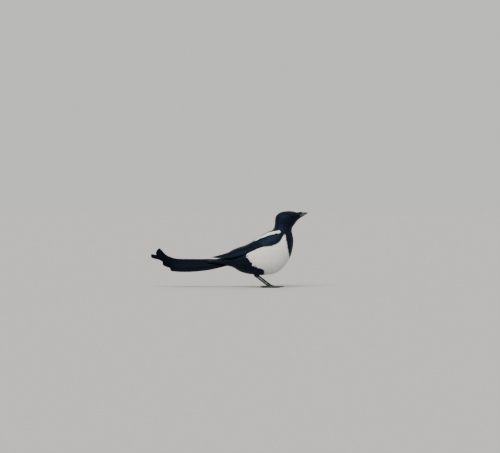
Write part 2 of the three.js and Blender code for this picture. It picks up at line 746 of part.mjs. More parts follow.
function makeFoot(leg, shin) {
  const joint = spotOf(leg.foot, leg.side);
  const pieces = [solid(new THREE.SphereGeometry(3.3, 8, 6).rotateX(Math.PI / 2)
    .translate(joint.x, joint.y, joint.z - 1.7))];
  const claws = {};
  for (const toe of toes) {
    const turn = (leg.turn * -leg.side + toe.turn * -leg.side) * degrees;
    const way = new THREE.Vector3(Math.cos(turn), Math.sin(turn), 0);
    const drop = (share) => 1.5 + (joint.z - 1.6) * (1 - THREE.MathUtils.smoothstep(share, 0, 0.38));
    const points = [];
    const sizes = [];
    const count = toe.scutes * 2;
    for (let i = 0; i <= count; i++) {
      const share = i / count;
      const spot = joint.clone().addScaledVector(way, toe.length * share);
      spot.z = drop(share);
      points.push(spot);
      const radius = THREE.MathUtils.lerp(toe.radius, toe.radius * 0.66, share);
      sizes.push({ width: radius * (i % 2 ? 0.92 : 1.04), depth: radius, rise: i % 2 ? 0 : 0.35 });
    }
    pieces.push(solid(tube(points, sizes, toeSides)));
    claws[toe.name] = makeClaw(toe, points.at(-1), way, sizes.at(-1).depth);
  }
  const floor = solid(new THREE.BoxGeometry(400, 400, 20).translate(joint.x, joint.y, -10));
  return { foot: largest(join(pieces).subtract(floor).subtract(shin)), claws };
}

// A claw starts a gap ahead of its toe and curves down to just above the floor.
function makeClaw(toe, start, way, radius) {
  const points = [];
  const sizes = [];
  const count = 4;
  for (let i = 0; i <= count; i++) {
    const share = i / count;
    const spot = start.clone().addScaledVector(way, 2 * gap + toe.claw * share);
    spot.z = start.z + 0.3 + toe.claw * 0.42 * share * (1 - share) - (start.z - 0.35) * share ** 2;
    points.push(spot);
    const size = radius * (1 - share) + 0.2;
    sizes.push({ width: size * 0.75, depth: size * 0.95 });
  }
  return solid(tube(points, sizes, toeSides));
}

const magpie = new THREE.Group();

function show(name, manifold, material) {
  const mesh = new THREE.Mesh(geometryOf(largest(manifold)), material);
  mesh.name = name;
  magpie.add(mesh);
}

const body = makeBody();
const beds = wingBed(right).add(wingBed(left));
const bodyRoom = grown(solid(bodyLoft()), gap);
const { head, eyes } = makeHead(body.head);

show("head", head, blackPlumage);
show("neck", body.neck.subtract(beds), blackPlumage);
for (const region of ["breast", "back", "vent"]) show(region, body[region].subtract(beds), blackPlumage);
show("belly", body.belly.subtract(beds), whitePlumage);
show("bill_upper", billHalf(true), horn);
show("bill_lower", billHalf(false), horn);
show("tail", makeTail(body.tailRoot), tailGloss);

for (const [name, side] of [["right", right], ["left", left]]) {
  const white = makeScapulars(side);
  const whiteLifts = { inner: wing.lifts.inner - 1, outer: 4 };
  const whiteField = slab(wingRibs, scapulars.outline, side, whiteLifts, scapulars.stations);
  show("eye_" + name, eyes[side], eyeGloss);
  show("scapulars_" + name, white, whitePlumage);
  show("wing_" + name, makeWing(side).subtract(grown(whiteField, 1.5 * gap)), wingGloss);
  const leg = legs[name];
  const shin = makeTarsus(leg);
  const shinRoom = grown(shin, gap);
  const { foot, claws } = makeFoot(leg, shinRoom);
  show("thigh_" + name, makeThigh(leg, bodyRoom).subtract(shinRoom), blackPlumage);
  show("tarsus_" + name, shin, legSkin);
  show("foot_" + name, foot, legSkin);
  for (const toe of toes) show(`claw_${name}_${toe.name}`, claws[toe.name], horn);
}

export default magpie;
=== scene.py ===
import math

import bmesh
import bpy
import numpy as np
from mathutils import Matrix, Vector


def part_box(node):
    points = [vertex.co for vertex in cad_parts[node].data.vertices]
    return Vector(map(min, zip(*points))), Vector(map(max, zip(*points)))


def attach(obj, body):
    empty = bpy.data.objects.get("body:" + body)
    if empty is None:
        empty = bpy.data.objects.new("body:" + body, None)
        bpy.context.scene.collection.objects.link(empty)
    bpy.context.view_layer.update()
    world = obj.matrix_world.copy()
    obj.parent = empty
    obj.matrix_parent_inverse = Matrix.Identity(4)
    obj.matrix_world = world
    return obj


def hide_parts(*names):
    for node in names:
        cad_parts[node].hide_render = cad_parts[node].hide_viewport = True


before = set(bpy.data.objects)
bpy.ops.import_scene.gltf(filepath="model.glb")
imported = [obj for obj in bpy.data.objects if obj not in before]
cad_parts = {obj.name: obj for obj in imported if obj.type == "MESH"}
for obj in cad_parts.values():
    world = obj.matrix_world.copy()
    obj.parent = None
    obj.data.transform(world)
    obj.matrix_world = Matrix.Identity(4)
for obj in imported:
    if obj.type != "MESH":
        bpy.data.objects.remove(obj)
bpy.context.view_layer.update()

mm = 0.001
rightSide = -1
leftSide = 1
sides = {"right": rightSide, "left": leftSide}


# Small helpers

def linear(hexColour):
    parts = [int(hexColour[i:i + 2], 16) / 255 for i in (1, 3, 5)]
    return [c / 12.92 if c <= 0.04045 else ((c + 0.055) / 1.055) ** 2.4 for c in parts] + [1.0]


def addNode(tree, kind, settings=None, inputs=None):
    node = tree.nodes.new(kind)
    for name, value in (settings or {}).items():
        setattr(node, name, value)
    for key, value in (inputs or {}).items():
        if isinstance(value, bpy.types.NodeSocket):
            tree.links.new(value, node.inputs[key])
        else:
            node.inputs[key].default_value = value
    return node


def lerp(a, b, share):
    return a + (b - a) * share


def smoothStep(value, low, high):
    share = np.clip((value - low) / (high - low), 0, 1)
    return share * share * (3 - 2 * share)


def unit(vectors):
    return vectors / np.maximum(np.linalg.norm(vectors, axis=-1, keepdims=True), 1e-12)


# A smooth-shaded mesh object from points in millimetres. uvs are maps with one pair for each point.
def makePiece(name, points, faces, material=None, uvs=None):
    mesh = bpy.data.meshes.new(name)
    mesh.from_pydata((np.asarray(points, float) * mm).tolist(), [], [list(f) for f in faces])
    mesh.validate()
    corners = np.zeros(len(mesh.loops), int)
    mesh.loops.foreach_get("vertex_index", corners)
    for mapName, pairs in (uvs or {}).items():
        layer = mesh.uv_layers.new(name=mapName)
        layer.data.foreach_set("uv", np.asarray(pairs, np.float32)[corners].ravel())
    mesh.polygons.foreach_set("use_smooth", [True] * len(mesh.polygons))
    piece = bpy.data.objects.new(name, mesh)
    bpy.context.scene.collection.objects.link(piece)
    if material:
        mesh.materials.append(material)
    return piece


# Gives every point of a piece a value, or a vector of three, that materials and node trees read by name.
def storeValues(piece, name, values):
    values = np.asarray(values, np.float32).ravel()
    single = len(values) == len(piece.data.vertices)
    stored = piece.data.attributes.new(name, "FLOAT" if single else "FLOAT_VECTOR", "POINT")
    stored.data.foreach_set("value" if single else "vector", values)


# The faces of several parts as those of one mesh that holds the parts' points one after the other.
def joinFaces(parts):
    faces, first = [], 0
    for part in parts:
        faces += [tuple(first + i for i in face) for face in part["faces"]]
        first += len(part["verts"])
    return faces


# Turns the faces of a closed piece outwards. merge joins the points that lie on each other first.
def turnOutwards(piece, merge=True):
    shape = bmesh.new()
    shape.from_mesh(piece.data)
    if merge:
        bmesh.ops.remove_doubles(shape, verts=shape.verts, dist=1e-7)
    bmesh.ops.recalc_face_normals(shape, faces=shape.faces)
    shape.to_mesh(piece.data)
    shape.free()


# Even steps round a circle, without the last one, which is the first again.
def fullTurn(count, whole=2 * math.pi):
    return np.arange(count) * whole / count


# A ball of radius 1 as rings of points round Z. margin, in radians, leaves its poles to flat end faces.
def unitBall(rings, around, margin):
    turn, tilt = np.meshgrid(fullTurn(around), np.linspace(margin, math.pi - margin, rings))
    return np.stack([np.sin(tilt) * np.cos(turn), np.sin(tilt) * np.sin(turn), np.cos(tilt)], axis=-1)


# Turns what the modifiers make into the piece's own plain mesh.
def applied(piece):
    made = bpy.data.meshes.new_from_object(piece.evaluated_get(bpy.context.evaluated_depsgraph_get()))
    piece.modifiers.clear()
    piece.data = made
    made.name = piece.name


# The faces of a sheet of rows and columns of points.
def gridFaces(rows, columns):
    starts = [r * columns + c for r in range(rows - 1) for c in range(columns - 1)]
    return [(a, a + 1, a + 1 + columns, a + columns) for a in starts]


# The faces of a closed tube through rings of points, all with as many points.
def tubeFaces(rings, around):
    faces = []
    for r in range(rings - 1):
        for i in range(around):
            a = r * around + i
            b = r * around + (i + 1) % around
            faces.append((a, b, b + around, a + around))
    faces.append(tuple(reversed(range(around))))
    faces.append(tuple(range((rings - 1) * around, rings * around)))
    return faces


# The body's surface

# Ribs from the tail root to the bill: a point of the back and of the belly [x, z] in the side view,
# the half width, the level where it is widest and the roundness of the section.
bodyRibs = np.array([
    (-66, 70, -64, 64, 5, 0.5, 2),
    (-28, 76, -26, 58, 12.5, 0.5, 2),
    (1, 85, 5, 53, 19, 0.5, 2),
    (23, 97, 28, 40.5, 28, 0.52, 2.05),
    (47, 110, 54, 34, 36, 0.54, 2.1),
    (75, 131, 91, 32, 40.5, 0.52, 2.15),
    (96, 143.6, 127, 41.5, 41, 0.5, 2.15),
    (109, 149.2, 155, 74, 36.5, 0.52, 2.1),
    (114.3, 156, 166, 117, 28, 0.52, 2),
    (116.3, 166, 161.8, 149.5, 20.8, 0.52, 2),
    (117, 178, 169, 164, 19.2, 0.54, 2),
    (120.5, 187.5, 176.5, 174, 18.6, 0.55, 2),
    (134, 196.6, 181.5, 178.6, 17.2, 0.52, 2),
    (159, 199.2, 184.6, 181.4, 12.6, 0.52, 2),
    (177.5, 194.9, 186.6, 183.4, 6.4, 0.5, 2),
])

# Behind the lower back the folded wings leave the body and close over the tail root.
wingRibs = np.vstack([
    [
        (-48, 80.5, -42, 60, 13, 0.5, 2),
        (-23, 86.4, -16, 50, 19, 0.5, 2),
        (0, 93, 8, 45, 25, 0.5, 2),
        (23, 101.5, 28, 40.5, 31, 0.52, 2.05),
    ],
    bodyRibs[4:10],
])


def ribAt(ribs, along):
    last = len(ribs) - 1
    along = np.asarray(along, float)
    first = np.clip(np.floor(along).astype(int), 0, last - 1)
    t = (along - first)[..., None]
    a, b, c, d = (ribs[np.clip(first + k, 0, last)] for k in (-1, 0, 1, 2))
    rise = (c - a) / 2
    fall = (d - b) / 2
    return (2 * b - 2 * c + rise + fall) * t ** 3 + (3 * c - 3 * b - 2 * rise - fall) * t ** 2 + rise * t + b


def ribPoint(ribs, along, across):
    rib = ribAt(ribs, along)
    angle = np.radians(across)
    c = np.cos(angle)
    s = np.sin(angle)
    roundness = 2 / rib[..., 6]
    q = (1 + np.sign(c) * np.abs(c) ** roundness) / 2
    height = q + 4 * (rib[..., 5] - 0.5) * q * (1 - q)
    return np.stack([
        lerp(rib[..., 2], rib[..., 0], height),
        rib[..., 4] * np.sign(s) * np.abs(s) ** roundness,
        lerp(rib[..., 3], rib[..., 1], height),
    ], axis=-1)


# Points of the surface raised by lift. across is in degrees from the middle of the back, + to the left.
def onBody(ribs, along, across, lift=0.0):
    along, across, lift = np.broadcast_arrays(*(np.asarray(v, float) for v in (along, across, lift)))
    ahead = ribPoint(ribs, along + 0.02, across) - ribPoint(ribs, along - 0.02, across)
    around = ribPoint(ribs, along, across + 1) - ribPoint(ribs, along, across - 1)
    out = unit(np.cross(around, ahead))
    point = ribPoint(ribs, along, across)
    rib = ribAt(ribs, along)
    middle = np.stack([(rib[..., 0] + rib[..., 2]) / 2, 0 * across, (rib[..., 1] + rib[..., 3]) / 2], -1)
    inward = np.sum(out * (point - middle), axis=-1) < 0
    out[inward] *= -1
    return point + out * lift[..., None], out


# Materials

def newMaterial(name):
    material = bpy.data.materials.new(name)
    material.use_nodes = True
    material.node_tree.nodes.clear()
    return material, material.node_tree


# The shader and, where a height is given, a fine relief over it. depth is in millimetres.
def finishMaterial(tree, values, height=None, strength=0.0, depth=0.0):
    if height:
        relief = addNode(tree, "ShaderNodeBump", inputs={
            "Strength": strength, "Distance": depth * mm, "Height": height,
        })
        values = {**values, "Normal": relief.outputs[0]}
    shader = addNode(tree, "ShaderNodeBsdfPrincipled", inputs=values)
    addNode(tree, "ShaderNodeOutputMaterial", inputs={"Surface": shader.outputs[0]})


# Adds a list of sums to a tree and their results to values. Each names its result, its operation and its
# terms, which are numbers or the names of values.
def workOut(tree, values, steps):
    for name, operation, *terms in steps:
        inputs = {place: values.get(term, term) for place, term in enumerate(terms)}
        values[name] = addNode(tree, "ShaderNodeMath", {"operation": operation}, inputs).outputs[0]
    return values


# along and across are a point's place on its vane in millimetres, and the vane's own map holds a hundredth
# of them. Barbs leave the shaft at a slant on both sides of it, and barb rises and falls from 0 to 1.
def vaneValues(tree, spacing):
    place = addNode(tree, "ShaderNodeUVMap", {"uv_map": "vane"})
    axes = addNode(tree, "ShaderNodeSeparateXYZ", inputs={0: place.outputs[0]})
    return workOut(tree, {"mapX": axes.outputs[0], "mapY": axes.outputs[1]}, [
        ("along", "MULTIPLY", "mapX", 100.0),
        ("across", "MULTIPLY", "mapY", 100.0),
        ("off", "ABSOLUTE", "across"),
        ("slant", "MULTIPLY", "off", plumage["barbSlant"]),
        ("slanted", "SUBTRACT", "along", "slant"),
        ("turns", "MULTIPLY", "slanted", 2 * math.pi / spacing),
        ("wave", "SINE", "turns"),
        ("halfWave", "MULTIPLY", "wave", 0.5),
        ("barb", "ADD", "halfWave", 0.5),
    ])


# A noise of the given grain, in millimetres, over the whole bird.
def grain(tree, size, detail=3.0):
    coordinates = addNode(tree, "ShaderNodeTexCoord")
    noise = addNode(tree, "ShaderNodeTexNoise", inputs={
        "Vector": coordinates.outputs["Object"], "Scale": 1 / (size * mm), "Detail": detail,
    })
    return noise.outputs[0]


# A base colour under layers, each a share and a colour, which is a hex value or a socket. Inputs 6 and 7
# and output 2 of a mix are its colours.
def layered(tree, base, *layers):
    colour = linear(base)
    for share, over in layers:
        over = linear(over) if isinstance(over, str) else over
        mixed = addNode(tree, "ShaderNodeMix", {"data_type": "RGBA"}, {0: share, 6: colour, 7: over})
        colour = mixed.outputs[2]
    return colour


plumage = {
    "barbSpacing": 0.5,     # barbs are 0.4 mm apart in life
    "flightBarbs": 1.3,     # how much wider apart those of wing and tail are
    "barbSlant": 0.9,
    "barbDepth": 0.12,
    "patch": 9.0,
    "glossPatch": 14.0,
    "black": "#040609",
    "blackLit": "#0b1019",
    "blackShine": "#9cbcff",
    "blackSheen": "#7f9cc8",
    "white": "#dadbd6",
    "whiteShade": "#c2c3ba",
    "whiteWear": 0.6,
    "whiteSheen": "#ffffff",
    "paleDown": "#a9aaa6",
    "darkDown": "#0a0e15",
    "glossShine": "#9fc0ff",
    # the colour of the real dark shafts, also used for the painted shadow along the vanes' free edges
    "shaft": "#030406",
    "shaftHalf": 0.4,
}

# A gloss runs through its colours over a vane, from reach 0 to 1. gloss is its share of the surface.
glosses = {
    "wing": {
        "name": "blue_green_wing_gloss", "base": "#020406", "gloss": 0.54, "shine": 0.12,
        "bands": {0.0: "#122a31", 0.4: "#10243a", 0.75: "#04080e"},
    },
    "tail": {
        "name": "bronze_green_tail_gloss", "base": "#020304", "gloss": 0.4, "shine": 0.05,
        "bands": {0.0: "#051113", 0.6: "#07100e", 0.84: "#0d0a18", 0.95: "#050c18"},
    },
}


# Contour feathers of the head, neck, breast and back: black melanin in loose barbs, which look soft,
# with a faint blue sheen where the light grazes them.
def blackPlumage():
    material, tree = newMaterial("black_contour_plumage")
    barb = vaneValues(tree, plumage["barbSpacing"])["barb"]
    finishMaterial(tree, {
        "Base Color": layered(tree, plumage["black"], (grain(tree, plumage["patch"]), plumage["blackLit"])),
        "Roughness": 0.46, "Specular IOR Level": 0.17, "Specular Tint": linear(plumage["blackShine"]),
        "Sheen Weight": 0.03, "Sheen Roughness": 0.4, "Sheen Tint": linear(plumage["blackSheen"]),
    }, barb, 0.4, plumage["barbDepth"])
    return material


# Belly and scapular feathers: white keratin full of air, matt and slightly warm, with grey shade in the
# gaps between the barbs.
def whitePlumage():
    material, tree = newMaterial("white_contour_plumage")
    values = vaneValues(tree, plumage["barbSpacing"])
    values["patch"] = grain(tree, plumage["patch"])
    workOut(tree, values, [("worn", "MULTIPLY", "patch", plumage["whiteWear"])])
    finishMaterial(tree, {
        "Base Color": layered(tree, plumage["white"], (values["worn"], plumage["whiteShade"])),
        "Roughness": 0.85, "Specular IOR Level": 0.2, "Sheen Weight": 0.15,
        "Sheen Tint": linear(plumage["whiteSheen"]),
    }, values["barb"], 0.3, plumage["barbDepth"])
    return material


# Flight feathers: black vanes with thin layers in their barbules, whose gloss is steel blue to green on
# the wing and bronze green, purple and blue along the tail, very dark in both. A part of the surface
# answers the light like a dark tinted metal.
def glossPlumage(kind):
    material, tree = newMaterial(kind["name"])
    values = vaneValues(tree, plumage["barbSpacing"] * plumage["flightBarbs"])
    ramp = addNode(tree, "ShaderNodeValToRGB")
    stops = ramp.color_ramp.elements
    stops.remove(stops[0])
    for number, (position, colour) in enumerate(kind["bands"].items()):
        stop = stops.new(position) if number else stops[0]
        stop.position = position
        stop.color = linear(colour)
    reach = addNode(tree, "ShaderNodeAttribute", {"attribute_name": "reach"})
    tree.links.new(reach.outputs["Fac"], ramp.inputs[0])
    values["patch"] = grain(tree, plumage["glossPatch"])
    # edge is a painted shadow along each vane's free edge, darkened towards the shaft's colour
    values["edge"] = addNode(tree, "ShaderNodeAttribute", {"attribute_name": "edge"}).outputs["Fac"]
    workOut(tree, values, [
        ("fine", "MULTIPLY", "barb", 0.08),
        ("uneven", "ADD", "patch", "fine"),
        ("share", "MULTIPLY", "uneven", kind["gloss"]),
        ("shaft", "LESS_THAN", "off", plumage["shaftHalf"]),
        ("darkShaft", "MULTIPLY", "shaft", 0.75),
        # the real dark shaft and the painted edge shadow, whichever is darker
        ("dark", "MAXIMUM", "darkShaft", "edge"),
    ])
    colour = layered(
        tree, kind["base"], (values["share"], ramp.outputs[0]), (values["dark"], plumage["shaft"]))
    finishMaterial(tree, {
        "Base Color": colour, "Metallic": 0.2, "Roughness": 0.38, "Specular IOR Level": kind["shine"],
        "Specular Tint": linear(plumage["glossShine"]),
    }, values["barb"], 0.4, plumage["barbDepth"])
    return material


# Bill and claws: black keratin horn, hard and satin, with a slate bloom on the bill.
def blackHorn(name, dark, light):
    material, tree = newMaterial(name)
    values = workOut(tree, {"fine": grain(tree, 1.2, 4.0)}, [
        ("worn", "MULTIPLY", "fine", 0.2),
        ("rough", "ADD", "worn", 0.24),
    ])
    finishMaterial(tree, {
        "Base Color": layered(tree, dark, (values["fine"], light)), "Roughness": values["rough"], "IOR": 1.54,
    }, values["fine"], 0.12, 0.1)
    return material


# Legs and toes: black scaled skin, dry and satin, with the small scales between the big ones as cells.
def legSkin():
    material, tree = newMaterial("black_leg_skin")
    coordinates = addNode(tree, "ShaderNodeTexCoord")
    cells = addNode(tree, "ShaderNodeTexVoronoi", {"feature": "DISTANCE_TO_EDGE"}, {
        "Vector": coordinates.outputs["Object"], "Scale": 1 / (1.1 * mm),
    })
    edge = workOut(tree, {"fromEdge": cells.outputs[0]}, [
        ("steep", "MULTIPLY", "fromEdge", 5.0),
        ("edge", "MINIMUM", "steep", 1.0),
    ])["edge"]
    finishMaterial(tree, {
        "Base Color": layered(tree, "#222427", (edge, "#0b0c0f")), "Roughness": 0.5,
        "Specular IOR Level": 0.3,
    }, edge, 0.5, 0.15)
    return material


# Eye: a nearly black brown iris round a black pupil under a wet clear cornea, which gives one sharp
# highlight. Its reach runs from 0 at the middle of the pupil to 1.
def eyeGloss():
    material, tree = newMaterial("wet_dark_eye")
    reach = addNode(tree, "ShaderNodeAttribute", {"attribute_name": "reach"}).outputs["Fac"]
    values = workOut(tree, {"reach": reach}, [
        ("pupil", "LESS_THAN", "reach", 0.46),
        ("rim", "GREATER_THAN", "reach", 0.82),
    ])
    colour = layered(
        tree, "#060404", (grain(tree, 0.5), "#0f0a07"), (values["pupil"], "#020202"),
        (values["rim"], "#070504"))
    finishMaterial(tree, {
        "Base Color": colour, "Roughness": 0.35, "Specular IOR Level": 0.02, "Coat Weight": 0.5,
        "Coat Roughness": 0.03, "Coat IOR": 1.22,
    })
    return material


# Bare lid skin: nearly black, matt and finely folded.
def lidSkin():
    material, tree = newMaterial("dark_lid_skin")
    fine = grain(tree, 0.6, 4.0)
    finishMaterial(tree, {
        "Base Color": layered(tree, "#030406", (fine, "#07080b")), "Roughness": 0.65,
        "Specular IOR Level": 0.05,
    }, fine, 0.4, 0.1)
    return material


# Short down on the skin: dark grey, and pale under the white feathers. It fills the gaps between them.
def underDown():
    material, tree = newMaterial("short_down")
    pale = addNode(tree, "ShaderNodeAttribute", {"attribute_name": "pale"}).outputs["Fac"]
    finishMaterial(tree, {
        "Base Color": layered(tree, plumage["darkDown"], (pale, plumage["paleDown"])), "Roughness": 0.9,
        "Specular IOR Level": 0.1,
    }, grain(tree, 0.8), 0.3, 0.2)
    return material


shortDown = underDown()
blackFeathers = blackPlumage()
whiteFeathers = whitePlumage()
wingFeathers = glossPlumage(glosses["wing"])
tailFeathers = glossPlumage(glosses["tail"])
horn = blackHorn("slate_black_bill_horn", "#14171c", "#28303c")
clawHorn = blackHorn("black_claw_horn", "#08090b", "#15171c")
scaledSkin = legSkin()
eyeSurface = eyeGloss()
lid = lidSkin()
print("materials made")


# The skin and the small feathers over it

lastRib = len(bodyRibs) - 1

skinValues = {
    "rings": 130,
    "around": 80,
    "legRings": 24,
    "legAround": 28,
    "voxel": 1.5,           # the parts are joined into one skin of faces this big, in millimetres
    "softened": 6,
    "paleEdge": (-0.5, 1.5),  # where the down turns pale, in millimetres inside the white
}

coat = {
    "depth": 1.7,           # how deep the skin lies under the outer surface of the plumage
    "depthAtBill": 0.8,
    "rootDepth": -0.4,      # the root of a feather is sunk this far in the skin
    "fieldRings": 160,
    "fieldSides": 140,
    "fieldStart": 0.2,      # in ribs, as the next three are
    "firstFeather": 0.5,
    "rumpEnd": 4.6,
    "wingEnd": 8,
    "overlap": 20,          # degrees by which a field runs past a full turn at both ends
    "untidiness": 0.14,
    "bodySpacing": 2.3,
    "bellySpacing": 2.05,
    "breastSpacing": 1.9,
    "headSpacing": 1.28,
    "nearWing": 0.85,       # the rise of feathers that end under the wing
    "colourAt": 0.55,       # the part of its length at which a feather takes its colour
    "finerByLine": 0.25,    # how much smaller feathers are where black meets white
    "finerWithin": 8,
    "aroundEye": 4.3,       # no feather comes nearer to the middle of an eye
    "barelyInside": 0.3,    # but for its root, which may be this much nearer
    "shortest": 1.2,
    "seed": 7,
}

# Side-view lines between the black and the white plumage, each through two points [x, z]. The rear edge
# of the white, along the vent, is an x at each of some heights. The thighs are black all over.
markings = {
    "breast": ((143.9, 137.5), (157, 76)),
    "flank": ((41, 90), (143.9, 141)),
    "ventHeights": (30, 36, 43, 50, 58, 70, 84, 95),
    "vent": (88, 92, 92, 80, 64.5, 55, 46.5, 43),
    "head": ((111, 150.5), (164, 142.5)),
}

# The folded wing lies on the wing ribs. Its upper and lower edges are degrees from the middle of the back.
wing = {
    "along": [0.9, 2, 3, 4, 5, 6, 7, 7.55, 7.95],
    "upper": [15, 10, 10, 14, 29.5, 35.5, 43.5, 57, 73],
    "lower": [60, 72, 70, 65, 66, 69, 78.5, 83.5, 87.5],
    "fanned": 0.9,          # how far the tips spread upwards, over the ribs from the first of these two
    "fannedOver": (4, 0.5),
    "covered": (4.0, 6.0),  # ribs between which the coverts start to lie over the flight feathers
    "topEdge": 0.96,        # the highest free edge, as a share of the wing's width
    "rootWidth": 0.6,       # the width at the root, as a share of the full width
    "fullWidthBy": 40,
    "camber": 0.3,
    "uneven": 0.02,
    "rows": 34,
    "columns": 7,
    "thickness": 0.14,
    "low": -0.7,            # the lowest feather's height over the wing ribs
    "step": 0.19,           # how much higher each next one lies
    "seed": 61,
}

# No body feather shows under the folded wing, between these edges, given as the wing's are.
bareUnderWing = {
    "along": (4, 7.8),
    "upper": ([4, 4.55, 5, 5.7, 6.3, 6.9, 7.4, 7.8, 8.2], [20, 26, 25, 24, 24.5, 28, 35, 46, 62]),
    "lower": ([4, 5, 6, 7, 7.55, 7.95], [60, 62, 65.5, 75, 80, 84]),
}

# Length, width and rise over the skin of the feathers at places along the ribs, in millimetres.
featherSizes = np.array([
    (0, 15, 6.5, 1.2), (2, 15, 7.2, 1.5), (4, 14, 7.2, 1.7), (6, 13, 6.8, 1.7), (8, 11.5, 6, 1.6),
    (9.5, 9.5, 4.8, 1.5), (11.5, 7, 3.4, 1.3), (13, 5, 2.4, 1.0), (14, 3.2, 1.7, 0.6),
])

# The joints of both legs [x, distance from the bird's middle, z], and degrees by which the foot turns inwards.
legs = {
    "right": {"hip": (79, 25, 54), "heel": (63.5, 21, 33), "foot": (101, 23, 4.3), "turn": 3},
    "left": {"hip": (82, 25, 54), "heel": (70, 21, 33), "foot": (107, 23.5, 4.3), "turn": 9},
}
thigh = {
    # the top is a dome inside the body, above the hip at 0, and the heel is at 1
    "along": [-0.45, -0.4, -0.25, -0.1, 0.05, 0.2, 0.35, 0.5, 0.75, 1],
    "radius": [1, 5, 9.5, 13, 15.5, 17, 16, 14, 11, 6.8],
    "flat": [0.4, 0.4, 0.42, 0.45, 0.46, 0.48, 0.52, 0.6, 0.8, 1],
    "sunk": 1.2,            # how deep its skin lies under its outer surface
    "skinTop": -0.54,
    "fieldTop": -0.5,
    "fieldRings": 60,
    "fieldSides": 70,
    "lastFeather": 0.95,
    "deepest": 3.5,         # how deep in the body's skin its first feathers start
    "spacing": 1.7,
    "size": (9, 4, 1.0),
    "untidiness": 0.16,
    "seed": 40,
}


def coatDepth(along):
    return lerp(coat["depth"], coat["depthAtBill"], smoothStep(along, 9.5, 13))


# A point's distance from a line in the side view: above 0 over a line that runs forwards, and in front of
# one that runs down.
def besideLine(line, points):
    (x1, z1), (x2, z2) = line
    over = (x2 - x1) * (points[..., 2] - z1) - (z2 - z1) * (points[..., 0] - x1)
    return over / math.hypot(x2 - x1, z2 - z1)


# How many millimetres a point lies inside the white, or less than 0 outside it.
def insideWhite(points):
    front = -besideLine(markings["breast"], points)
    under = -besideLine(markings["flank"], points)
    rear = points[..., 0] - np.interp(points[..., 2], markings["ventHeights"], markings["vent"])
    return np.minimum(np.minimum(front, under), 0.8 * rear)


# A point on a thigh. along runs from above the hip, 0, to the heel, 1, and across is in degrees round it.
def onThigh(bones, side, along, across, lift=0.0):
    hip = np.array(bones["hip"], float)
    heel = np.array(bones["heel"], float)
    along, across, lift = np.broadcast_arrays(*(np.asarray(v, float) for v in (along, across, lift)))
    way = unit(heel - hip)
    sideways = np.array([0.0, 1.0, 0.0])
    front = np.cross(sideways, way)
    radius = np.interp(along, thigh["along"], thigh["radius"])[..., None]
    flat = np.interp(along, thigh["along"], thigh["flat"])[..., None]
    angle = np.radians(across)[..., None]
    out = unit(np.sin(angle) * sideways + np.cos(angle) * front * flat)
    point = hip + (heel - hip) * along[..., None] + out * lift[..., None]
    point += (np.sin(angle) * sideways * flat + np.cos(angle) * front) * radius
    flip = np.array([1, side, 1])
    return point * flip, out * flip


# The body and both thighs as one closed skin.
def makeSkin(material):
    rings, around = skinValues["rings"], skinValues["around"]
    along, across = np.meshgrid(np.linspace(0, lastRib, rings), fullTurn(around, 360), indexing="ij")
    body, _ = onBody(bodyRibs, along, across, -coatDepth(along))
    parts = [{"verts": body.reshape(-1, 3), "faces": tubeFaces(rings, around)}]
    rings, around = skinValues["legRings"], skinValues["legAround"]
    along, across = np.meshgrid(np.linspace(thigh["skinTop"], 1, rings), fullTurn(around, 360), indexing="ij")
    for name, bones in legs.items():
        flesh, _ = onThigh(bones, sides[name], along, across, -thigh["sunk"])
        parts.append({"verts": flesh.reshape(-1, 3), "faces": tubeFaces(rings, around)})
    skin = makePiece("skin", np.vstack([part["verts"] for part in parts]), joinFaces(parts))
    turnOutwards(skin)
    skin.modifiers.new("oneSkin", "REMESH").voxel_size = skinValues["voxel"] * mm
    smoothing = skin.modifiers.new("soften", "SMOOTH")
    smoothing.factor = 0.5
    smoothing.iterations = skinValues["softened"]
    applied(skin)
    skin.data.polygons.foreach_set("use_smooth", [True] * len(skin.data.polygons))
    points = np.array([v.co for v in skin.data.vertices]) / mm
    storeValues(skin, "pale", smoothStep(insideWhite(points), *skinValues["paleEdge"]))
    skin.data.materials.clear()
    skin.data.materials.append(material)
    return skin


# A sheet over a part of the body that feathers are laid on. It is not shown. Each corner knows its place
# on the sheet, its outward direction, how many millimetres the sheet is long and wide there, the size of
# a feather rooted there, and whether any is rooted there.
def makeField(name, points, outs, size, cover, heading=0.0):
    rows, columns = points.shape[:2]
    field = makePiece(name, points.reshape(-1, 3), gridFaces(rows, columns))
    places = np.meshgrid(np.linspace(0, 1, rows), np.linspace(0, 1, columns), indexing="ij")
    lengths = [
        np.linalg.norm(np.gradient(points, axis=axis), axis=-1) * (count - 1)
        for axis, count in enumerate((rows, columns))
    ]
    for attribute, values in {
        "place": np.stack([*places, 0 * cover], axis=-1), "outward": outs,
        "metric": np.stack([*lengths, 0 * cover + 1], axis=-1), "size": size,
        "cover": cover, "heading": np.full(cover.shape, heading),
    }.items():
        storeValues(field, attribute, values)
    return field


# One contour feather as a few narrow closed blades that leave one root and spread, as the loose barbs of
# its vane do. rows are shares of a blade's length with its half width there and the height of its ridge,
# and blades are each one's lean, length and how deep it lies under the others. Heights are millimetres.
def makeTemplate(name, rows, blades):
    points, faces = [], []
    for lean, reach, sunk in blades:
        first = len(points)
        for share, wide, ridge in rows:
            middle = lean * share ** 0.8
            points += [
                (share * reach, middle - wide, -sunk), (share * reach, middle, ridge - sunk),
                (share * reach, middle + wide, -sunk),
            ]
        faces += [tuple(first + i for i in face) for face in tubeFaces(len(rows), 3)]
    template = makePiece(name, np.array(points) / mm, faces)
    storeValues(template, "shape", points)
    turnOutwards(template)
    rims = template.data.attributes.new("sharp_edge", "BOOLEAN", "EDGE")
    rims.data.foreach_set("value", [all(v % 3 != 1 for v in edge.vertices) for edge in template.data.edges])
    return template


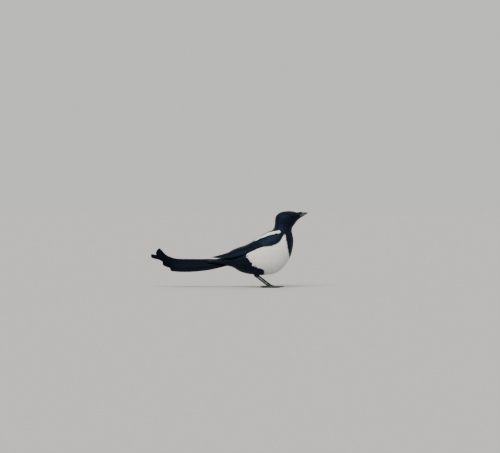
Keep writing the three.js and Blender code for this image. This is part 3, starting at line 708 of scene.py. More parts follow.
# Geometry Nodes: feathers laid on a field. Roots are scattered over the field, or given as points, and
# every corner of a vane is put on the field at its own place, so that the vane bends with the body.
def featherTree(name, scattered):
    tree = bpy.data.node_groups.new(name, "GeometryNodeTree")
    for socket, kind in {
        "Geometry": "NodeSocketGeometry", "Field": "NodeSocketObject", "Feather": "NodeSocketObject",
        "Spacing": "NodeSocketFloat", "Seed": "NodeSocketInt", "Root depth": "NodeSocketFloat",
        "Untidiness": "NodeSocketFloat", "Finish": "NodeSocketMaterial",
    }.items():
        tree.interface.new_socket(socket, in_out="INPUT", socket_type=kind)
    tree.interface.new_socket("Geometry", in_out="OUTPUT", socket_type="NodeSocketGeometry")
    given = addNode(tree, "NodeGroupInput").outputs
    read = {}
    for kind, attributes in {
        "FLOAT_VECTOR": ("shape", "size", "chance", "place", "metric", "outward"),
        "FLOAT": ("cover", "heading", "seat"),
    }.items():
        for attribute in attributes:
            node = addNode(tree, "GeometryNodeInputNamedAttribute", {"data_type": kind}, {"Name": attribute})
            read[attribute] = node.outputs[0]

    roots = given["Geometry"]
    if scattered:
        covered = addNode(tree, "FunctionNodeCompare", {"operation": "GREATER_THAN"}, {
            "A": read["cover"], "B": 0.01,
        }).outputs[0]
        covered = addNode(tree, "GeometryNodeSeparateGeometry", {"domain": "FACE"}, {
            "Geometry": roots, "Selection": covered,
        }).outputs[0]
        roots = addNode(tree, "GeometryNodeDistributePointsOnFaces", {"distribute_method": "POISSON"}, {
            "Mesh": covered, "Distance Min": given["Spacing"], "Density Max": 1e6,
            "Density Factor": read["cover"], "Seed": given["Seed"],
        }).outputs[0]
    chance = addNode(tree, "FunctionNodeRandomValue", {"data_type": "FLOAT_VECTOR"}, {
        "Min": (-1, -1, -1), "Max": (1, 1, 1), "Seed": given["Seed"],
    }).outputs[0]
    kind = {"data_type": "FLOAT_VECTOR", "domain": "POINT"}
    roots = addNode(tree, "GeometryNodeStoreNamedAttribute", kind, {
        "Geometry": roots, "Name": "chance", "Value": chance,
    }).outputs[0]
    feather = addNode(tree, "GeometryNodeObjectInfo", inputs={"Object": given["Feather"]}).outputs["Geometry"]
    copies = addNode(tree, "GeometryNodeInstanceOnPoints", inputs={"Points": roots, "Instance": feather})
    vanes = addNode(tree, "GeometryNodeRealizeInstances", inputs={"Geometry": copies.outputs[0]}).outputs[0]

    values = {
        "untidiness": given["Untidiness"], "rootDepth": given["Root depth"],
        "heading": read["heading"], "seat": read["seat"],
    }
    for attribute, names in {
        "shape": ("x", "y", "z"), "size": ("length", "width", "rise"),
        "chance": ("longLuck", "turnLuck", "riseLuck"), "place": ("placeU", "placeV"),
        "metric": ("metricU", "metricV"),
    }.items():
        values.update(zip(names, addNode(tree, "ShaderNodeSeparateXYZ", inputs={0: read[attribute]}).outputs))
    workOut(tree, values, [
        # the corner's place on its own feather
        ("loose", "MULTIPLY", "longLuck", "untidiness"),
        ("stretch", "MULTIPLY", "loose", 0.6),
        ("stretched", "ADD", "stretch", 1.0),
        ("long", "MULTIPLY", "length", "stretched"),
        ("fromRoot", "MULTIPLY", "x", "long"),
        ("back", "MULTIPLY", "fromRoot", -1.0),
        ("wide", "MULTIPLY", "y", "width"),
        ("side", "MULTIPLY", "wide", 0.5),
        # turned with the feather
        ("astray", "MULTIPLY", "turnLuck", "untidiness"),
        ("turn", "ADD", "astray", "heading"),
        ("cosine", "COSINE", "turn"),
        ("sine", "SINE", "turn"),
        ("backAhead", "MULTIPLY", "back", "cosine"),
        ("sideAhead", "MULTIPLY", "side", "sine"),
        ("ahead", "SUBTRACT", "backAhead", "sideAhead"),
        ("backAround", "MULTIPLY", "back", "sine"),
        ("sideAround", "MULTIPLY", "side", "cosine"),
        ("around", "ADD", "backAround", "sideAround"),
        # its place on the field, kept off the field's rim
        ("stepU", "DIVIDE", "ahead", "metricU"),
        ("stepV", "DIVIDE", "around", "metricV"),
        ("freeU", "ADD", "placeU", "stepU"),
        ("freeV", "ADD", "placeV", "stepV"),
        ("keptU", "MAXIMUM", "freeU", 0.001),
        ("keptV", "MAXIMUM", "freeV", 0.001),
        ("u", "MINIMUM", "keptU", 0.999),
        ("v", "MINIMUM", "keptV", 0.999),
        # its height over the field
        ("riseChance", "MULTIPLY", "riseLuck", "untidiness"),
        ("riseChange", "MULTIPLY", "riseChance", 0.8),
        ("uneven", "ADD", "riseChange", 1.0),
        ("tipRise", "MULTIPLY", "rise", "uneven"),
        ("curve", "POWER", "x", 0.7),
        ("climb", "MULTIPLY", "curve", "tipRise"),
        ("ridge", "ADD", "climb", "z"),
        ("rootSeat", "ADD", "rootDepth", "seat"),
        ("height", "ADD", "ridge", "rootSeat"),
        ("lift", "MULTIPLY", "height", mm),
        # its places on both maps
        ("vaneX", "MULTIPLY", "fromRoot", 0.01),
        ("vaneY", "MULTIPLY", "side", 0.01),
        ("patchX", "MULTIPLY", "x", 0.003),
        ("patchY", "MULTIPLY", "y", 0.0015),
        ("bakeX", "ADD", "placeU", "patchX"),
        ("bakeY", "ADD", "placeV", "patchY"),
    ])
    pairs = {
        name: addNode(tree, "ShaderNodeCombineXYZ", inputs={0: values[first], 1: values[second]}).outputs[0]
        for name, first, second in (
            ("spot", "u", "v"), ("vane", "vaneX", "vaneY"), ("OFBake", "bakeX", "bakeY"))
    }

    field = addNode(tree, "GeometryNodeObjectInfo", inputs={"Object": given["Field"]}).outputs["Geometry"]
    position = addNode(tree, "GeometryNodeInputPosition").outputs[0]
    spot, out = (
        addNode(tree, "GeometryNodeSampleUVSurface", {"data_type": "FLOAT_VECTOR"}, {
            "Mesh": field, "Value": value, "Source UV Map": read["place"], "Sample UV": pairs["spot"],
        }).outputs[0]
        for value in (position, read["outward"]))
    raised = addNode(tree, "ShaderNodeVectorMath", {"operation": "SCALE"}, {0: out, "Scale": values["lift"]})
    at = addNode(tree, "ShaderNodeVectorMath", {"operation": "ADD"}, {0: spot, 1: raised.outputs[0]})
    vanes = addNode(tree, "GeometryNodeSetPosition", inputs={
        "Geometry": vanes, "Position": at.outputs[0],
    }).outputs[0]
    kind = {"data_type": "FLOAT2", "domain": "CORNER"}
    for mapName in ("vane", "OFBake"):
        vanes = addNode(tree, "GeometryNodeStoreNamedAttribute", kind, {
            "Geometry": vanes, "Name": mapName, "Value": pairs[mapName],
        }).outputs[0]
    vanes = addNode(tree, "GeometryNodeSetMaterial", inputs={
        "Geometry": vanes, "Material": given["Finish"],
    }).outputs[0]
    addNode(tree, "NodeGroupOutput", inputs={0: vanes})
    return tree


# Lays feathers over a field and returns them as one plain mesh. roots are the points to grow them from,
# or the field itself where they are scattered.
def layFeathers(name, tree, roots, settings):
    piece = roots.copy()
    piece.data = roots.data.copy()
    piece.name = name
    piece.data.name = name
    bpy.context.scene.collection.objects.link(piece)
    modifier = piece.modifiers.new("feathers", "NODES")
    modifier.node_group = tree
    for item in tree.interface.items_tree:
        if item.in_out == "INPUT" and item.name in settings:
            modifier[item.identifier] = settings[item.name]
    applied(piece)
    for attribute in ("shape", "place", "outward", "metric", "size", "cover", "chance", "heading", "seat"):
        if attribute in piece.data.attributes:
            piece.data.attributes.remove(piece.data.attributes[attribute])
    return piece


scatteredTree = featherTree("scatteredFeathers", True)
placedTree = featherTree("placedFeathers", False)

bodyFeather = makeTemplate("bodyFeather", [
    (0, 0.16, 0.06), (0.4, 0.4, 0.2), (0.78, 0.32, 0.16), (1, 0.05, 0.05),
], [(-0.7, 0.88, 0.12), (-0.24, 1.0, 0.0), (0.22, 0.97, 0.05), (0.68, 0.85, 0.16)])
headFeather = makeTemplate("headFeather", [
    (0, 0.25, 0.05), (0.4, 0.5, 0.16), (0.8, 0.36, 0.12), (1, 0.06, 0.04),
], [(-0.5, 0.88, 0.06), (0.05, 1.0, 0.0), (0.55, 0.9, 0.09)])


def underWing(along, across):
    upper, lower = (np.interp(along, *bareUnderWing[edge]) for edge in ("upper", "lower"))
    first, last = bareUnderWing["along"]
    return (np.abs(across) > upper) & (np.abs(across) < lower) & (along > first) & (along < last)


# Centre and radius of an eyeball, in millimetres.
def frameEye(name):
    low, high = (np.array(corner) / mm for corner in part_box("eye_" + name))
    return (low + high) / 2, float(max(high - low)) / 2


# A field for each part of the coat, with the spacing of its feathers.
def bodyFields():
    rings, around = coat["fieldRings"], coat["fieldSides"]
    reach = 180 + coat["overlap"]
    along, across = np.meshgrid(
        np.linspace(coat["fieldStart"], lastRib, rings), np.linspace(-reach, reach, around), indexing="ij")
    points, outs = onBody(bodyRibs, along, across, -coatDepth(along))
    size = np.stack([np.interp(along, featherSizes[:, 0], featherSizes[:, k]) for k in (1, 2, 3)], axis=-1)
    shown = (np.abs(across) <= 180) & ~underWing(along, across) & (along > coat["firstFeather"])
    perRib = np.linalg.norm(np.gradient(points, along[:, 0], axis=0), axis=-1)

    # feathers whose tips lie under the wing's lower edge stay low
    tipAlong = along - size[..., 0] / perRib
    lowerEdge = np.interp(tipAlong, wing["along"], wing["lower"]) + 2
    underEdge = (np.abs(across) < lowerEdge) & (np.abs(across) > 50) & (tipAlong < coat["wingEnd"])
    size[..., 2] = np.where(underEdge, np.minimum(size[..., 2], coat["nearWing"]), size[..., 2])

    # those by the line between black and white are finer
    fromLine = insideWhite(ribPoint(bodyRibs, along - 0.3 * size[..., 0] / perRib, across))
    nearLine = np.exp(-(fromLine / coat["finerWithin"]) ** 2)
    size[..., :2] *= (1 - coat["finerByLine"] * nearLine)[..., None]
    coloured = ribPoint(bodyRibs, along - coat["colourAt"] * size[..., 0] / perRib, across)
    white = insideWhite(coloured) > 0
    head = besideLine(markings["head"], points) > 0

    # those in front of an eye end before it
    backwards = unit(points - ribPoint(bodyRibs, along - 0.05, across))
    for centre, _ in (frameEye(name) for name in sides):
        away = np.linalg.norm(points - centre, axis=-1)
        inFront = np.sum((points - centre) * backwards, axis=-1) > 0
        aside = np.linalg.norm(np.cross(points - centre, backwards), axis=-1)
        nearest = coat["aroundEye"] - coat["barelyInside"]
        room = np.where(inFront & (aside < coat["aroundEye"]), away - nearest, np.inf)
        size[..., 0] = np.clip(room, coat["shortest"], size[..., 0])
        shown &= away > nearest
    middle = along > coat["rumpEnd"]
    parts = {
        "coatHead": (shown & head, "headSpacing"),
        "coatBreast": (shown & ~head & ~white & middle, "breastSpacing"),
        "coatRump": (shown & ~head & ~white & ~middle, "bodySpacing"),
        "coatBelly": (shown & ~head & white, "bellySpacing"),
    }
    return {
        name: (makeField(name + "Field", points, outs, size, cover.astype(float)), spacing)
        for name, (cover, spacing) in parts.items()
    }


# Whether each point lies deeper than depth inside the body's surface.
def insideBody(points, depth):
    along, across = np.meshgrid(np.linspace(0, lastRib, 80), np.linspace(0, 360, 60), indexing="ij")
    body, outs = onBody(bodyRibs, along, across, -depth)
    body, outs = body.reshape(-1, 3), outs.reshape(-1, 3)
    flat = points.reshape(-1, 3)
    nearest = np.argmin(((flat[:, None] - body[None]) ** 2).sum(axis=-1), axis=1)
    return (((flat - body[nearest]) * outs[nearest]).sum(axis=-1) < 0).reshape(points.shape[:-1])


def thighField(name):
    reach = 180 + coat["overlap"]
    along, across = np.meshgrid(
        np.linspace(1, thigh["fieldTop"], thigh["fieldRings"]),
        np.linspace(-reach, reach, thigh["fieldSides"]), indexing="ij")
    points, outs = onThigh(legs[name], sides[name], along, across, -thigh["sunk"])
    size = np.ones(points.shape) * thigh["size"]
    size *= np.interp(along, [0, 0.5, 1], [1.2, 1, 0.5])[..., None]
    outside = ~insideBody(points, coat["depth"] + thigh["deepest"])
    cover = (np.abs(across) <= 180) & outside & (along < thigh["lastFeather"])
    return makeField("thighField", points, outs, size, cover.astype(float))


def makeCoat():
    made = []
    for number, (name, (field, spacing)) in enumerate(bodyFields().items()):
        white = name == "coatBelly"
        piece = layFeathers(name, scatteredTree, field, {
            "Field": field, "Feather": headFeather if name == "coatHead" else bodyFeather,
            "Spacing": coat[spacing] * mm, "Seed": coat["seed"] + number, "Root depth": coat["rootDepth"],
            "Untidiness": coat["untidiness"], "Finish": whiteFeathers if white else blackFeathers,
        })
        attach(piece, "root")
        made.append(piece)
        bpy.data.objects.remove(field)
    for number, name in enumerate(sides):
        field = thighField(name)
        piece = layFeathers("coatThigh" + name.title(), scatteredTree, field, {
            "Field": field, "Feather": bodyFeather, "Spacing": thigh["spacing"] * mm,
            "Seed": thigh["seed"] + number, "Root depth": coat["rootDepth"],
            "Untidiness": thigh["untidiness"], "Finish": blackFeathers,
        })
        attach(piece, "root")
        made.append(piece)
        bpy.data.objects.remove(field)
    return made


skin = makeSkin(shortDown)
coatPieces = makeCoat()
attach(skin, "root")
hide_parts("head", "neck", "breast", "back", "vent", "belly", "thigh_right", "thigh_left")
for piece in (skin, *coatPieces):
    print(piece.name, len(piece.data.polygons), "faces")


# Large feathers: wings, scapulars and tail

vane = {
    "shaftRise": 0.22,
    "shaftWidth": 0.09,     # as a part of the vane's width
    "paintedEdgeShadow": 0.6,       # how dark the painted shadow along each vane's free edge is
}


# One long vane from rows of points across it. Its shaft stands over its faces and its edges are thin.
# places are each point's distances along and across the vane, in millimetres.
def makeVane(points, outs, places, reach, shaft, thickness):
    rows, columns = points.shape[:2]
    fromShaft = (np.arange(columns) / (columns - 1) - shaft) / vane["shaftWidth"]
    ridge = vane["shaftRise"] * np.exp(-fromShaft ** 2)[None, :, None]
    upper = points + outs * (thickness / 2 + ridge)
    lower = points - outs * (thickness / 2 + ridge)
    verts = np.vstack([upper.reshape(-1, 3), lower.reshape(-1, 3)])
    below = rows * columns
    faces = []
    for face in gridFaces(rows, columns):
        faces.append(face)
        faces.append(tuple(below + face[i] for i in (0, 3, 2, 1)))
    rim = [r * columns for r in range(rows)]
    rim += [(rows - 1) * columns + c for c in range(1, columns)]
    rim += [r * columns + columns - 1 for r in range(rows - 2, -1, -1)]
    rim += [c for c in range(columns - 2, 0, -1)]
    for a, b in zip(rim, rim[1:] + rim[:1]):
        faces.append((a, b, b + below, a + below))
    flat = places.reshape(-1, 2) / 100
    # the first column, the vane's free edge, carries a painted shadow, kept as the attribute edge
    edge = np.broadcast_to(np.arange(columns) == 0, (rows, columns)).ravel() * vane["paintedEdgeShadow"]
    return {"verts": verts, "faces": faces, "vane": np.vstack([flat, flat]),
            "reach": np.tile(reach.ravel(), 2), "edge": np.tile(edge, 2)}


def joinVanes(name, vanes, material):
    kinds = ("verts", "vane", "reach", "edge")
    joined = {key: np.concatenate([part[key] for part in vanes]) for key in kinds}
    piece = makePiece(name, joined["verts"], joinFaces(vanes), material, {"vane": joined["vane"]})
    # edge holds the painted shadow along each vane's free edge
    for attribute in ("reach", "edge"):
        storeValues(piece, attribute, joined[attribute])
    turnOutwards(piece, merge=False)
    piece.data.set_sharp_from_angle(angle=math.radians(50))
    return piece


# Flight feathers from the outermost, at the wing's lower edge, to the innermost on top. edges are the
# places of their free lower edges, 0 at the wing's lower edge and 1 at its upper one, tips are in ribs.
# widths are millimetres, point is the length of the tapered end, and tone runs from blue-green, 0, over
# blue, 0.4, to the black of the primaries, 0.75.
flightRows = [
    {"count": 9, "edges": (0.0, 0.3), "tips": (0.02, 1.75), "root": 7.3, "width": (9, 12), "shaft": 0.25,
     "point": 24, "tone": 0.75},
    {"count": 8, "edges": (0.36, 0.6), "tips": (1.95, 2.5), "root": 6.8, "width": (13, 15), "shaft": 0.35,
     "point": 12, "tone": 0.1},
    {"count": 4, "edges": (0.68, 0.9), "tips": (2.7, 3.7), "root": 5.9, "width": (15, 16), "shaft": 0.45,
     "point": 13, "tone": 0.3},
]


def wingPoint(side, along, share, lift):
    upper = np.interp(along, wing["along"], wing["upper"])
    lower = np.interp(along, wing["along"], wing["lower"])
    return onBody(wingRibs, along, side * lerp(lower, upper, share), lift)


# The wing's width in millimetres, from its lower to its upper edge.
def wingDepth(side, along):
    share = np.linspace(0, 1, 9)
    points, _ = wingPoint(side, np.asarray(along)[:, None], share[None, :], 0.0)
    return np.sum(np.linalg.norm(np.diff(points, axis=1), axis=-1), axis=1)


def makeFlightFeathers(side):
    draw = np.random.default_rng(wing["seed"] + side)
    fanFirst, fanLast = wing["fannedOver"]
    vanes = []
    for row in flightRows:
        for i in range(row["count"]):
            share = i / (row["count"] - 1)
            tip = lerp(*row["tips"], share)
            along = tip + (row["root"] - tip) * np.linspace(1, 0, wing["rows"]) ** 1.4
            middle, _ = wingPoint(side, along, 0.5, 0.0)
            passed = np.concatenate([[0], np.cumsum(np.linalg.norm(np.diff(middle, axis=0), axis=-1))])
            left = passed[-1] - passed
            depth = wingDepth(side, along)
            fanned = 1 + wing["fanned"] * np.clip((fanFirst - along) / (fanFirst - fanLast), 0, 1)
            edge = np.minimum(lerp(*row["edges"], share) * fanned, wing["topEdge"])
            widening = np.interp(passed, [0, wing["fullWidthBy"]], [wing["rootWidth"], 1])
            width = lerp(*row["width"], share) * widening / depth
            past = np.clip(1 - left / row["point"], 0, 1)
            low = edge + width * 0.72 * past ** 2.2
            high = np.minimum(edge + width * (1 - 0.2 * past ** 3), 1.0)
            high = np.maximum(high, low + 0.4 / depth)
            across = np.linspace(0, 1, wing["columns"])[None, :]
            at = low[:, None] + (high - low)[:, None] * across
            covered = smoothStep(along, *wing["covered"])[:, None]
            camber = wing["camber"] * (1 - (2 * across - 1) ** 2)
            base = wing["low"] + len(vanes) * wing["step"] * (1 - 0.8 * covered)
            lift = base + camber * (1 - covered) + draw.normal(0, wing["uneven"], at.shape)
            points, outs = wingPoint(side, along[:, None], at, lift)
            off = (at - (low + (high - low) * row["shaft"])[:, None]) * depth[:, None]
            places = np.stack(np.broadcast_arrays(passed[:, None], off), axis=-1)
            reach = np.broadcast_to((row["tone"] + 0.5 * passed / passed[-1])[:, None], off.shape)
            vanes.append(makeVane(points, outs, places, reach, row["shaft"], wing["thickness"]))
    return vanes


# Rows of coverts. root and tip are [along, across] at both ends of the row, sizes are in millimetres,
# and seat is how high over the ribs their roots lie.
covertRows = {
    "primaryCoverts": {
        "count": 8, "width": (6, 7), "seat": (0.0, 0.3), "rise": 1.1,
        "root": ((7.2, 79), (6.7, 63)), "tip": ((5.5, 66), (5.1, 57)),
    },
    "alula": {
        "count": 3, "width": (5, 6.5), "seat": (0.4, 0.6), "rise": 1.2,
        "root": ((7.6, 83), (7.5, 77)), "tip": ((6.25, 71), (6.15, 66)),
    },
    "greaterCoverts": {
        "count": 10, "width": (8.5, 10), "seat": (0.3, 0.4), "rise": 1.2,
        "root": ((6.7, 65), (6.0, 36)), "tip": ((5.2, 60.5), (4.4, 31)),
    },
    "medianCoverts": {
        "count": 9, "width": (7.5, 8.5), "seat": (0.3, 0.3), "rise": 1.2,
        "root": ((7.15, 70.5), (6.5, 38)), "tip": ((6.1, 63.5), (5.5, 35)),
    },
    "lesserCovertsLow": {
        "count": 9, "width": (6.5, 7.5), "seat": (0.2, 0.2), "rise": 1.2,
        "root": ((7.5, 76), (6.9, 42)), "tip": ((6.7, 70), (6.1, 38)),
    },
    "lesserCovertsMiddle": {
        "count": 8, "width": (6, 7), "seat": (0.0, 0.2), "rise": 1.1,
        "root": ((7.75, 80.5), (7.25, 50)), "tip": ((7.05, 75), (6.55, 44)),
    },
    "lesserCovertsTop": {
        "count": 7, "width": (5.5, 6.5), "seat": (-0.2, 0.1), "rise": 1.0,
        "root": ((7.98, 84), (7.6, 60)), "tip": ((7.4, 79.5), (6.95, 52)),
    },
    "marginalCoverts": {
        "count": 8, "width": (4.5, 5), "seat": (-0.6, 0.0), "rise": 0.9,
        "root": ((8.3, 88), (7.95, 69)), "tip": ((7.75, 85), (7.35, 62)),
    },
}

# The sheet over the wing ribs that coverts and scapulars are laid on, in ribs and degrees.
sheet = {"first": 0.02, "last": 8.98, "rows": 150, "reach": 118, "columns": 120}
coverts = {"untidiness": 0.05, "seed": 3, "rootSeed": 5}


def sheetPlace(along, across):
    u = (along - sheet["first"]) / (sheet["last"] - sheet["first"])
    v = (across + sheet["reach"]) / (2 * sheet["reach"])
    return np.stack([u, v, 0 * u], axis=-1)


def sheetGrid():
    return np.meshgrid(
        np.linspace(sheet["first"], sheet["last"], sheet["rows"]),
        np.linspace(-sheet["reach"], sheet["reach"], sheet["columns"]), indexing="ij")


# Points that feathers grow from, each with all that the feather tree reads.
def makeRoots(name, side, rows, seed):
    draw = np.random.default_rng(seed)
    roots = {"place": [], "metric": [], "size": [], "heading": [], "seat": []}
    for row in rows:
        for i in range(row["count"]):
            share = i / (row["count"] - 1)
            root, tip = (lerp(*np.array(row[end], float), share) for end in ("root", "tip"))
            root = root + draw.normal(0, 1, 2) * (0.02, 0.5)
            spots, _ = onBody(wingRibs, root[0] + np.array([-0.05, 0.05, 0, 0]),
                              side * root[1] + np.array([0, 0, -1, 1]))
            perRib = np.linalg.norm(spots[1] - spots[0]) / 0.1
            perDegree = np.linalg.norm(spots[3] - spots[2]) / 2
            ahead = (tip[0] - root[0]) * perRib
            around = side * (tip[1] - root[1]) * perDegree
            roots["place"].append(sheetPlace(root[0], side * root[1]))
            metric = (perRib * (sheet["last"] - sheet["first"]), perDegree * 2 * sheet["reach"], 1)
            roots["metric"].append(metric)
            roots["size"].append((math.hypot(ahead, around), lerp(*row["width"], share), row["rise"]))
            roots["heading"].append(math.atan2(-around, -ahead))
            roots["seat"].append(lerp(*row["seat"], share))
    piece = makePiece(name, np.zeros((len(roots["seat"]), 3)), [])
    for attribute, values in roots.items():
        storeValues(piece, attribute, values)
    return piece


def makeWings():
    points, outs = onBody(wingRibs, *sheetGrid())
    field = makeField("wingSheet", points, outs, np.ones(points.shape), np.zeros(points.shape[:2]))
    for name, side in sides.items():
        flight = joinVanes("flightFeathers" + name.title(), makeFlightFeathers(side), wingFeathers)
        roots = makeRoots("covertRoots" + name.title(), side, covertRows.values(), coverts["rootSeed"] + side)
        small = layFeathers("coverts" + name.title(), placedTree, roots, {
            "Field": field, "Feather": covertFeather, "Seed": coverts["seed"], "Root depth": 0.0,
            "Untidiness": coverts["untidiness"], "Finish": wingFeathers,
        })
        bpy.data.objects.remove(roots)
        for piece in (flight, small):
            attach(piece, "root")
        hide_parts("wing_" + name)
    bpy.data.objects.remove(field)


# White scapulars: they hang from the shoulder over the wing's upper edge.
scapulars = {
    "along": [4.75, 5.1, 5.5, 6.0, 6.5, 7.1, 7.6, 8.0, 8.2],
    "upper": [24, 24.5, 25, 26, 28, 33, 42, 55, 61],
    "lower": [25.5, 28, 31, 33.5, 36, 42, 52.5, 66.5, 71],
    "seat": [1.8, 1.7, 1.4, 1.2, 1.1, 0.9, 0.6, 0.2, 0],
    "length": [17, 17, 16.5, 16, 15, 13.5, 11.5, 8.5, 6.5],
    "width": [5.5, 5.5, 5.6, 5.8, 5.6, 5.4, 4.8, 4, 3.6],
    "rise": [0.9, 0.9, 1, 1.2, 1.3, 1.3, 1.2, 1.2, 1.1],
    "turned": 0.6,          # how far they turn from straight back into the band's own direction
    "finerByEdge": 0.2,
    "finerWithin": 3,
    "spacing": 1.2,
    "untidiness": 0.09,
    "seed": 17,
}


# They point along the band that they form, from the shoulder backwards and up.
def makeScapulars():
    along, across = sheetGrid()
    points, outs = onBody(wingRibs, along, across)
    upper, lower, seat, length, width, rise = (
        np.interp(along, scapulars["along"], scapulars[key])
        for key in ("upper", "lower", "seat", "length", "width", "rise"))
    perRib = np.linalg.norm(np.gradient(points, along[:, 0], axis=0), axis=-1)
    perDegree = np.linalg.norm(np.gradient(points, across[0], axis=1), axis=-1)
    slope = np.gradient((upper + lower) / 2, along[:, 0], axis=0)
    turn = scapulars["turned"] * np.arctan2(slope * perDegree, perRib)
    for name, side in sides.items():
        fromEdge = np.minimum(side * across - upper, lower - side * across) * perDegree
        inside = (fromEdge > 0) & (along > scapulars["along"][0]) & (along < scapulars["along"][-1])
        finer = 1 - scapulars["finerByEdge"] * np.exp(-(fromEdge / scapulars["finerWithin"]) ** 2)
        size = np.stack([length * finer, width * finer, rise], axis=-1)
        field = makeField("scapularSheet" + name.title(), points, outs, size, inside.astype(float),
                          heading=side * turn)
        storeValues(field, "seat", seat)
        piece = layFeathers("scapulars" + name.title(), scatteredTree, field, {
            "Field": field, "Feather": bodyFeather, "Spacing": scapulars["spacing"] * mm,
            "Seed": scapulars["seed"] + side, "Root depth": 0.0, "Untidiness": scapulars["untidiness"],
            "Finish": whiteFeathers,
        })
        bpy.data.objects.remove(field)
        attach(piece, "root")
        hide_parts("scapulars_" + name)


# The tail's middle line in the side view, with its end bent up by the wind, and six pairs of feathers
# that shorten outwards. A feather has a length, half widths at its middle and near its tip, offsets at
# its root and tip, how far its end is bent aside, and how far the end is cut aslant.
tail = {
    "line": [
        (10, 68), (-30, 65.5), (-70, 62.4), (-110, 61), (-142, 62.5), (-163, 70), (-182, 80), (-202, 90),
    ],
    "rollRoot": 38,         # degrees by which its left edge is raised
    "rollEnd": 59,
    "rolledBy": 50,         # how far from the root that roll is reached
    "layer": 0.36,          # half the height of one pair over the next
    "thickness": 0.18,
    "sag": 0.4,             # how far a feather's edges hang under its shaft
    "blunt": 6.5,           # the length of the rounded tip
    "bendFrom": 0.84,
    "slantFrom": 0.85,
    "rows": 44,
    "columns": 9,
    "seed": 29,
    "pairs": [
        {"right": (222, 12.6, 6, -1, -1.5, -8.8, 0), "left": (206, 12.6, 12, 0.5, 2, 9.8, 5)},
        {"right": (204, 12.2, 8.2, -2.5, -1.8, -0.6, 0), "left": (196, 12.4, 11, 1.5, 2.6, 3, 0)},
        {"right": (188, 12, 9.7, -4, -8, -2.5, 0), "left": (182, 12, 11, 2, 2.8, 0, 0)},
        {"right": (166, 11.6, 9.6, -5, -14, -1.5, 0), "left": (164, 11.6, 10.8, 2.4, 3, 0, 0)},
        {"right": (144, 11, 9.8, -6, -13.5, 0, 0), "left": (143, 11, 10.4, 2.8, 3.2, 0, 0)},
        {"right": (124, 10.2, 9, -7, -12, 0, 0), "left": (124, 10.2, 9.6, 3, 3.4, 0, 0)},
    ],
}


def tailCurve():
    steps = np.linspace(0, len(tail["line"]) - 1, 500)
    points = ribAt(np.array(tail["line"], float), steps)
    passed = np.concatenate([[0], np.cumsum(np.linalg.norm(np.diff(points, axis=0), axis=-1))])
    return passed, points


def onTail(distance, offset, lift):
    passed, points = tailCurve()
    distance, offset, lift = np.broadcast_arrays(distance, offset, lift)
    inside = np.clip(distance, 0, passed[-1] - 0.5)
    here = np.stack([np.interp(inside, passed, points[:, k]) for k in (0, 1)], axis=-1)
    beyond = np.stack([np.interp(inside + 0.5, passed, points[:, k]) for k in (0, 1)], axis=-1)
    ahead = unit(beyond - here)
    here = here + ahead * (distance - inside)[..., None]
    roll = np.radians(lerp(tail["rollRoot"], tail["rollEnd"], smoothStep(distance, 0, tail["rolledBy"])))
    across = np.stack([0 * roll, np.cos(roll), np.sin(roll)], axis=-1)
    forward = np.stack([ahead[..., 0], 0 * roll, ahead[..., 1]], axis=-1)
    out = unit(np.cross(across, forward))
    out *= np.where(out[..., 2:] < 0, -1, 1)
    point = np.stack([here[..., 0], 0 * roll, here[..., 1]], axis=-1)
    return point + across * offset[..., None] + out * lift[..., None], out


def makeTail():
    draw = np.random.default_rng(tail["seed"])
    vanes = []
    for order, pair in enumerate(tail["pairs"]):
        for side, name in ((rightSide, "right"), (leftSide, "left")):
            length, wide, narrow, atRoot, atTip, bend, slant = pair[name]
            distance = length * (1 - np.linspace(1, 0, tail["rows"]) ** 1.8)
            share = distance / length
            tip = np.clip(1 - (length - distance) / tail["blunt"], 0, 1)
            half = lerp(0.4 * wide, wide, smoothStep(share, 0, 0.6))
            half = lerp(half, narrow, smoothStep(share, 0.7, 0.97)) * (1 - tip ** 4) ** 0.5
            half = np.maximum(half, 0.8) * (1 + draw.normal(0, 0.01, len(half)))
            middle = lerp(atRoot, atTip, share) + bend * smoothStep(share, tail["bendFrom"], 1)
            across = np.linspace(-1, 1, tail["columns"])[None, :]
            offset = middle[:, None] + half[:, None] * across
            layer = (5 - 2 * order + 0.5 * side) * tail["layer"]
            cut = slant * smoothStep(share, tail["slantFrom"], 1) * half / wide
            slanted = distance[:, None] - cut[:, None] * across
            points, outs = onTail(slanted, offset, layer - tail["sag"] * across ** 2)
            places = np.stack(np.broadcast_arrays(distance[:, None], half[:, None] * across), axis=-1)
            reach = np.broadcast_to(share[:, None], offset.shape)
            vanes.append(makeVane(points, outs, places, reach, 0.5, tail["thickness"]))
    piece = joinVanes("tailFeathers", vanes, tailFeathers)
    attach(piece, "root")
    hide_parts("tail")


# A firm covert is one blade, whose ridge is its shaft.
covertFeather = makeTemplate("covertFeather", [
    (0, 0.45, 0.15), (0.3, 0.85, 0.3), (0.62, 1.0, 0.36), (0.84, 0.9, 0.32), (0.95, 0.6, 0.22), (1, 0.2, 0.1),
], [(0, 1, 0)])
makeWings()
makeScapulars()
makeTail()
print("wings, scapulars and tail made")


# The head: eyes, lids, bill and the bristles over the nostrils

bill = {
    # x, top, mouth line, bottom and half width from the root to the tip
    "stations": [
        (168, 193, 183.6, 178.2, 5.6), (176, 194.8, 185.4, 179, 5.9), (184, 195.9, 187.4, 181.4, 5.3),
        (191, 196.3, 189.3, 185.2, 4.2), (197, 196, 191, 189, 2.9), (201.5, 194.9, 192.3, 191.5, 1.6),
        (204.4, 193.2, 192.6, 192.3, 0.4),
    ],
    "rings": 48,
    "around": 22,
    "parting": 0.12,
    "roundness": 0.8,
    "overhang": 0.8,        # in stations, as the lower half ends before the upper one's tip
}


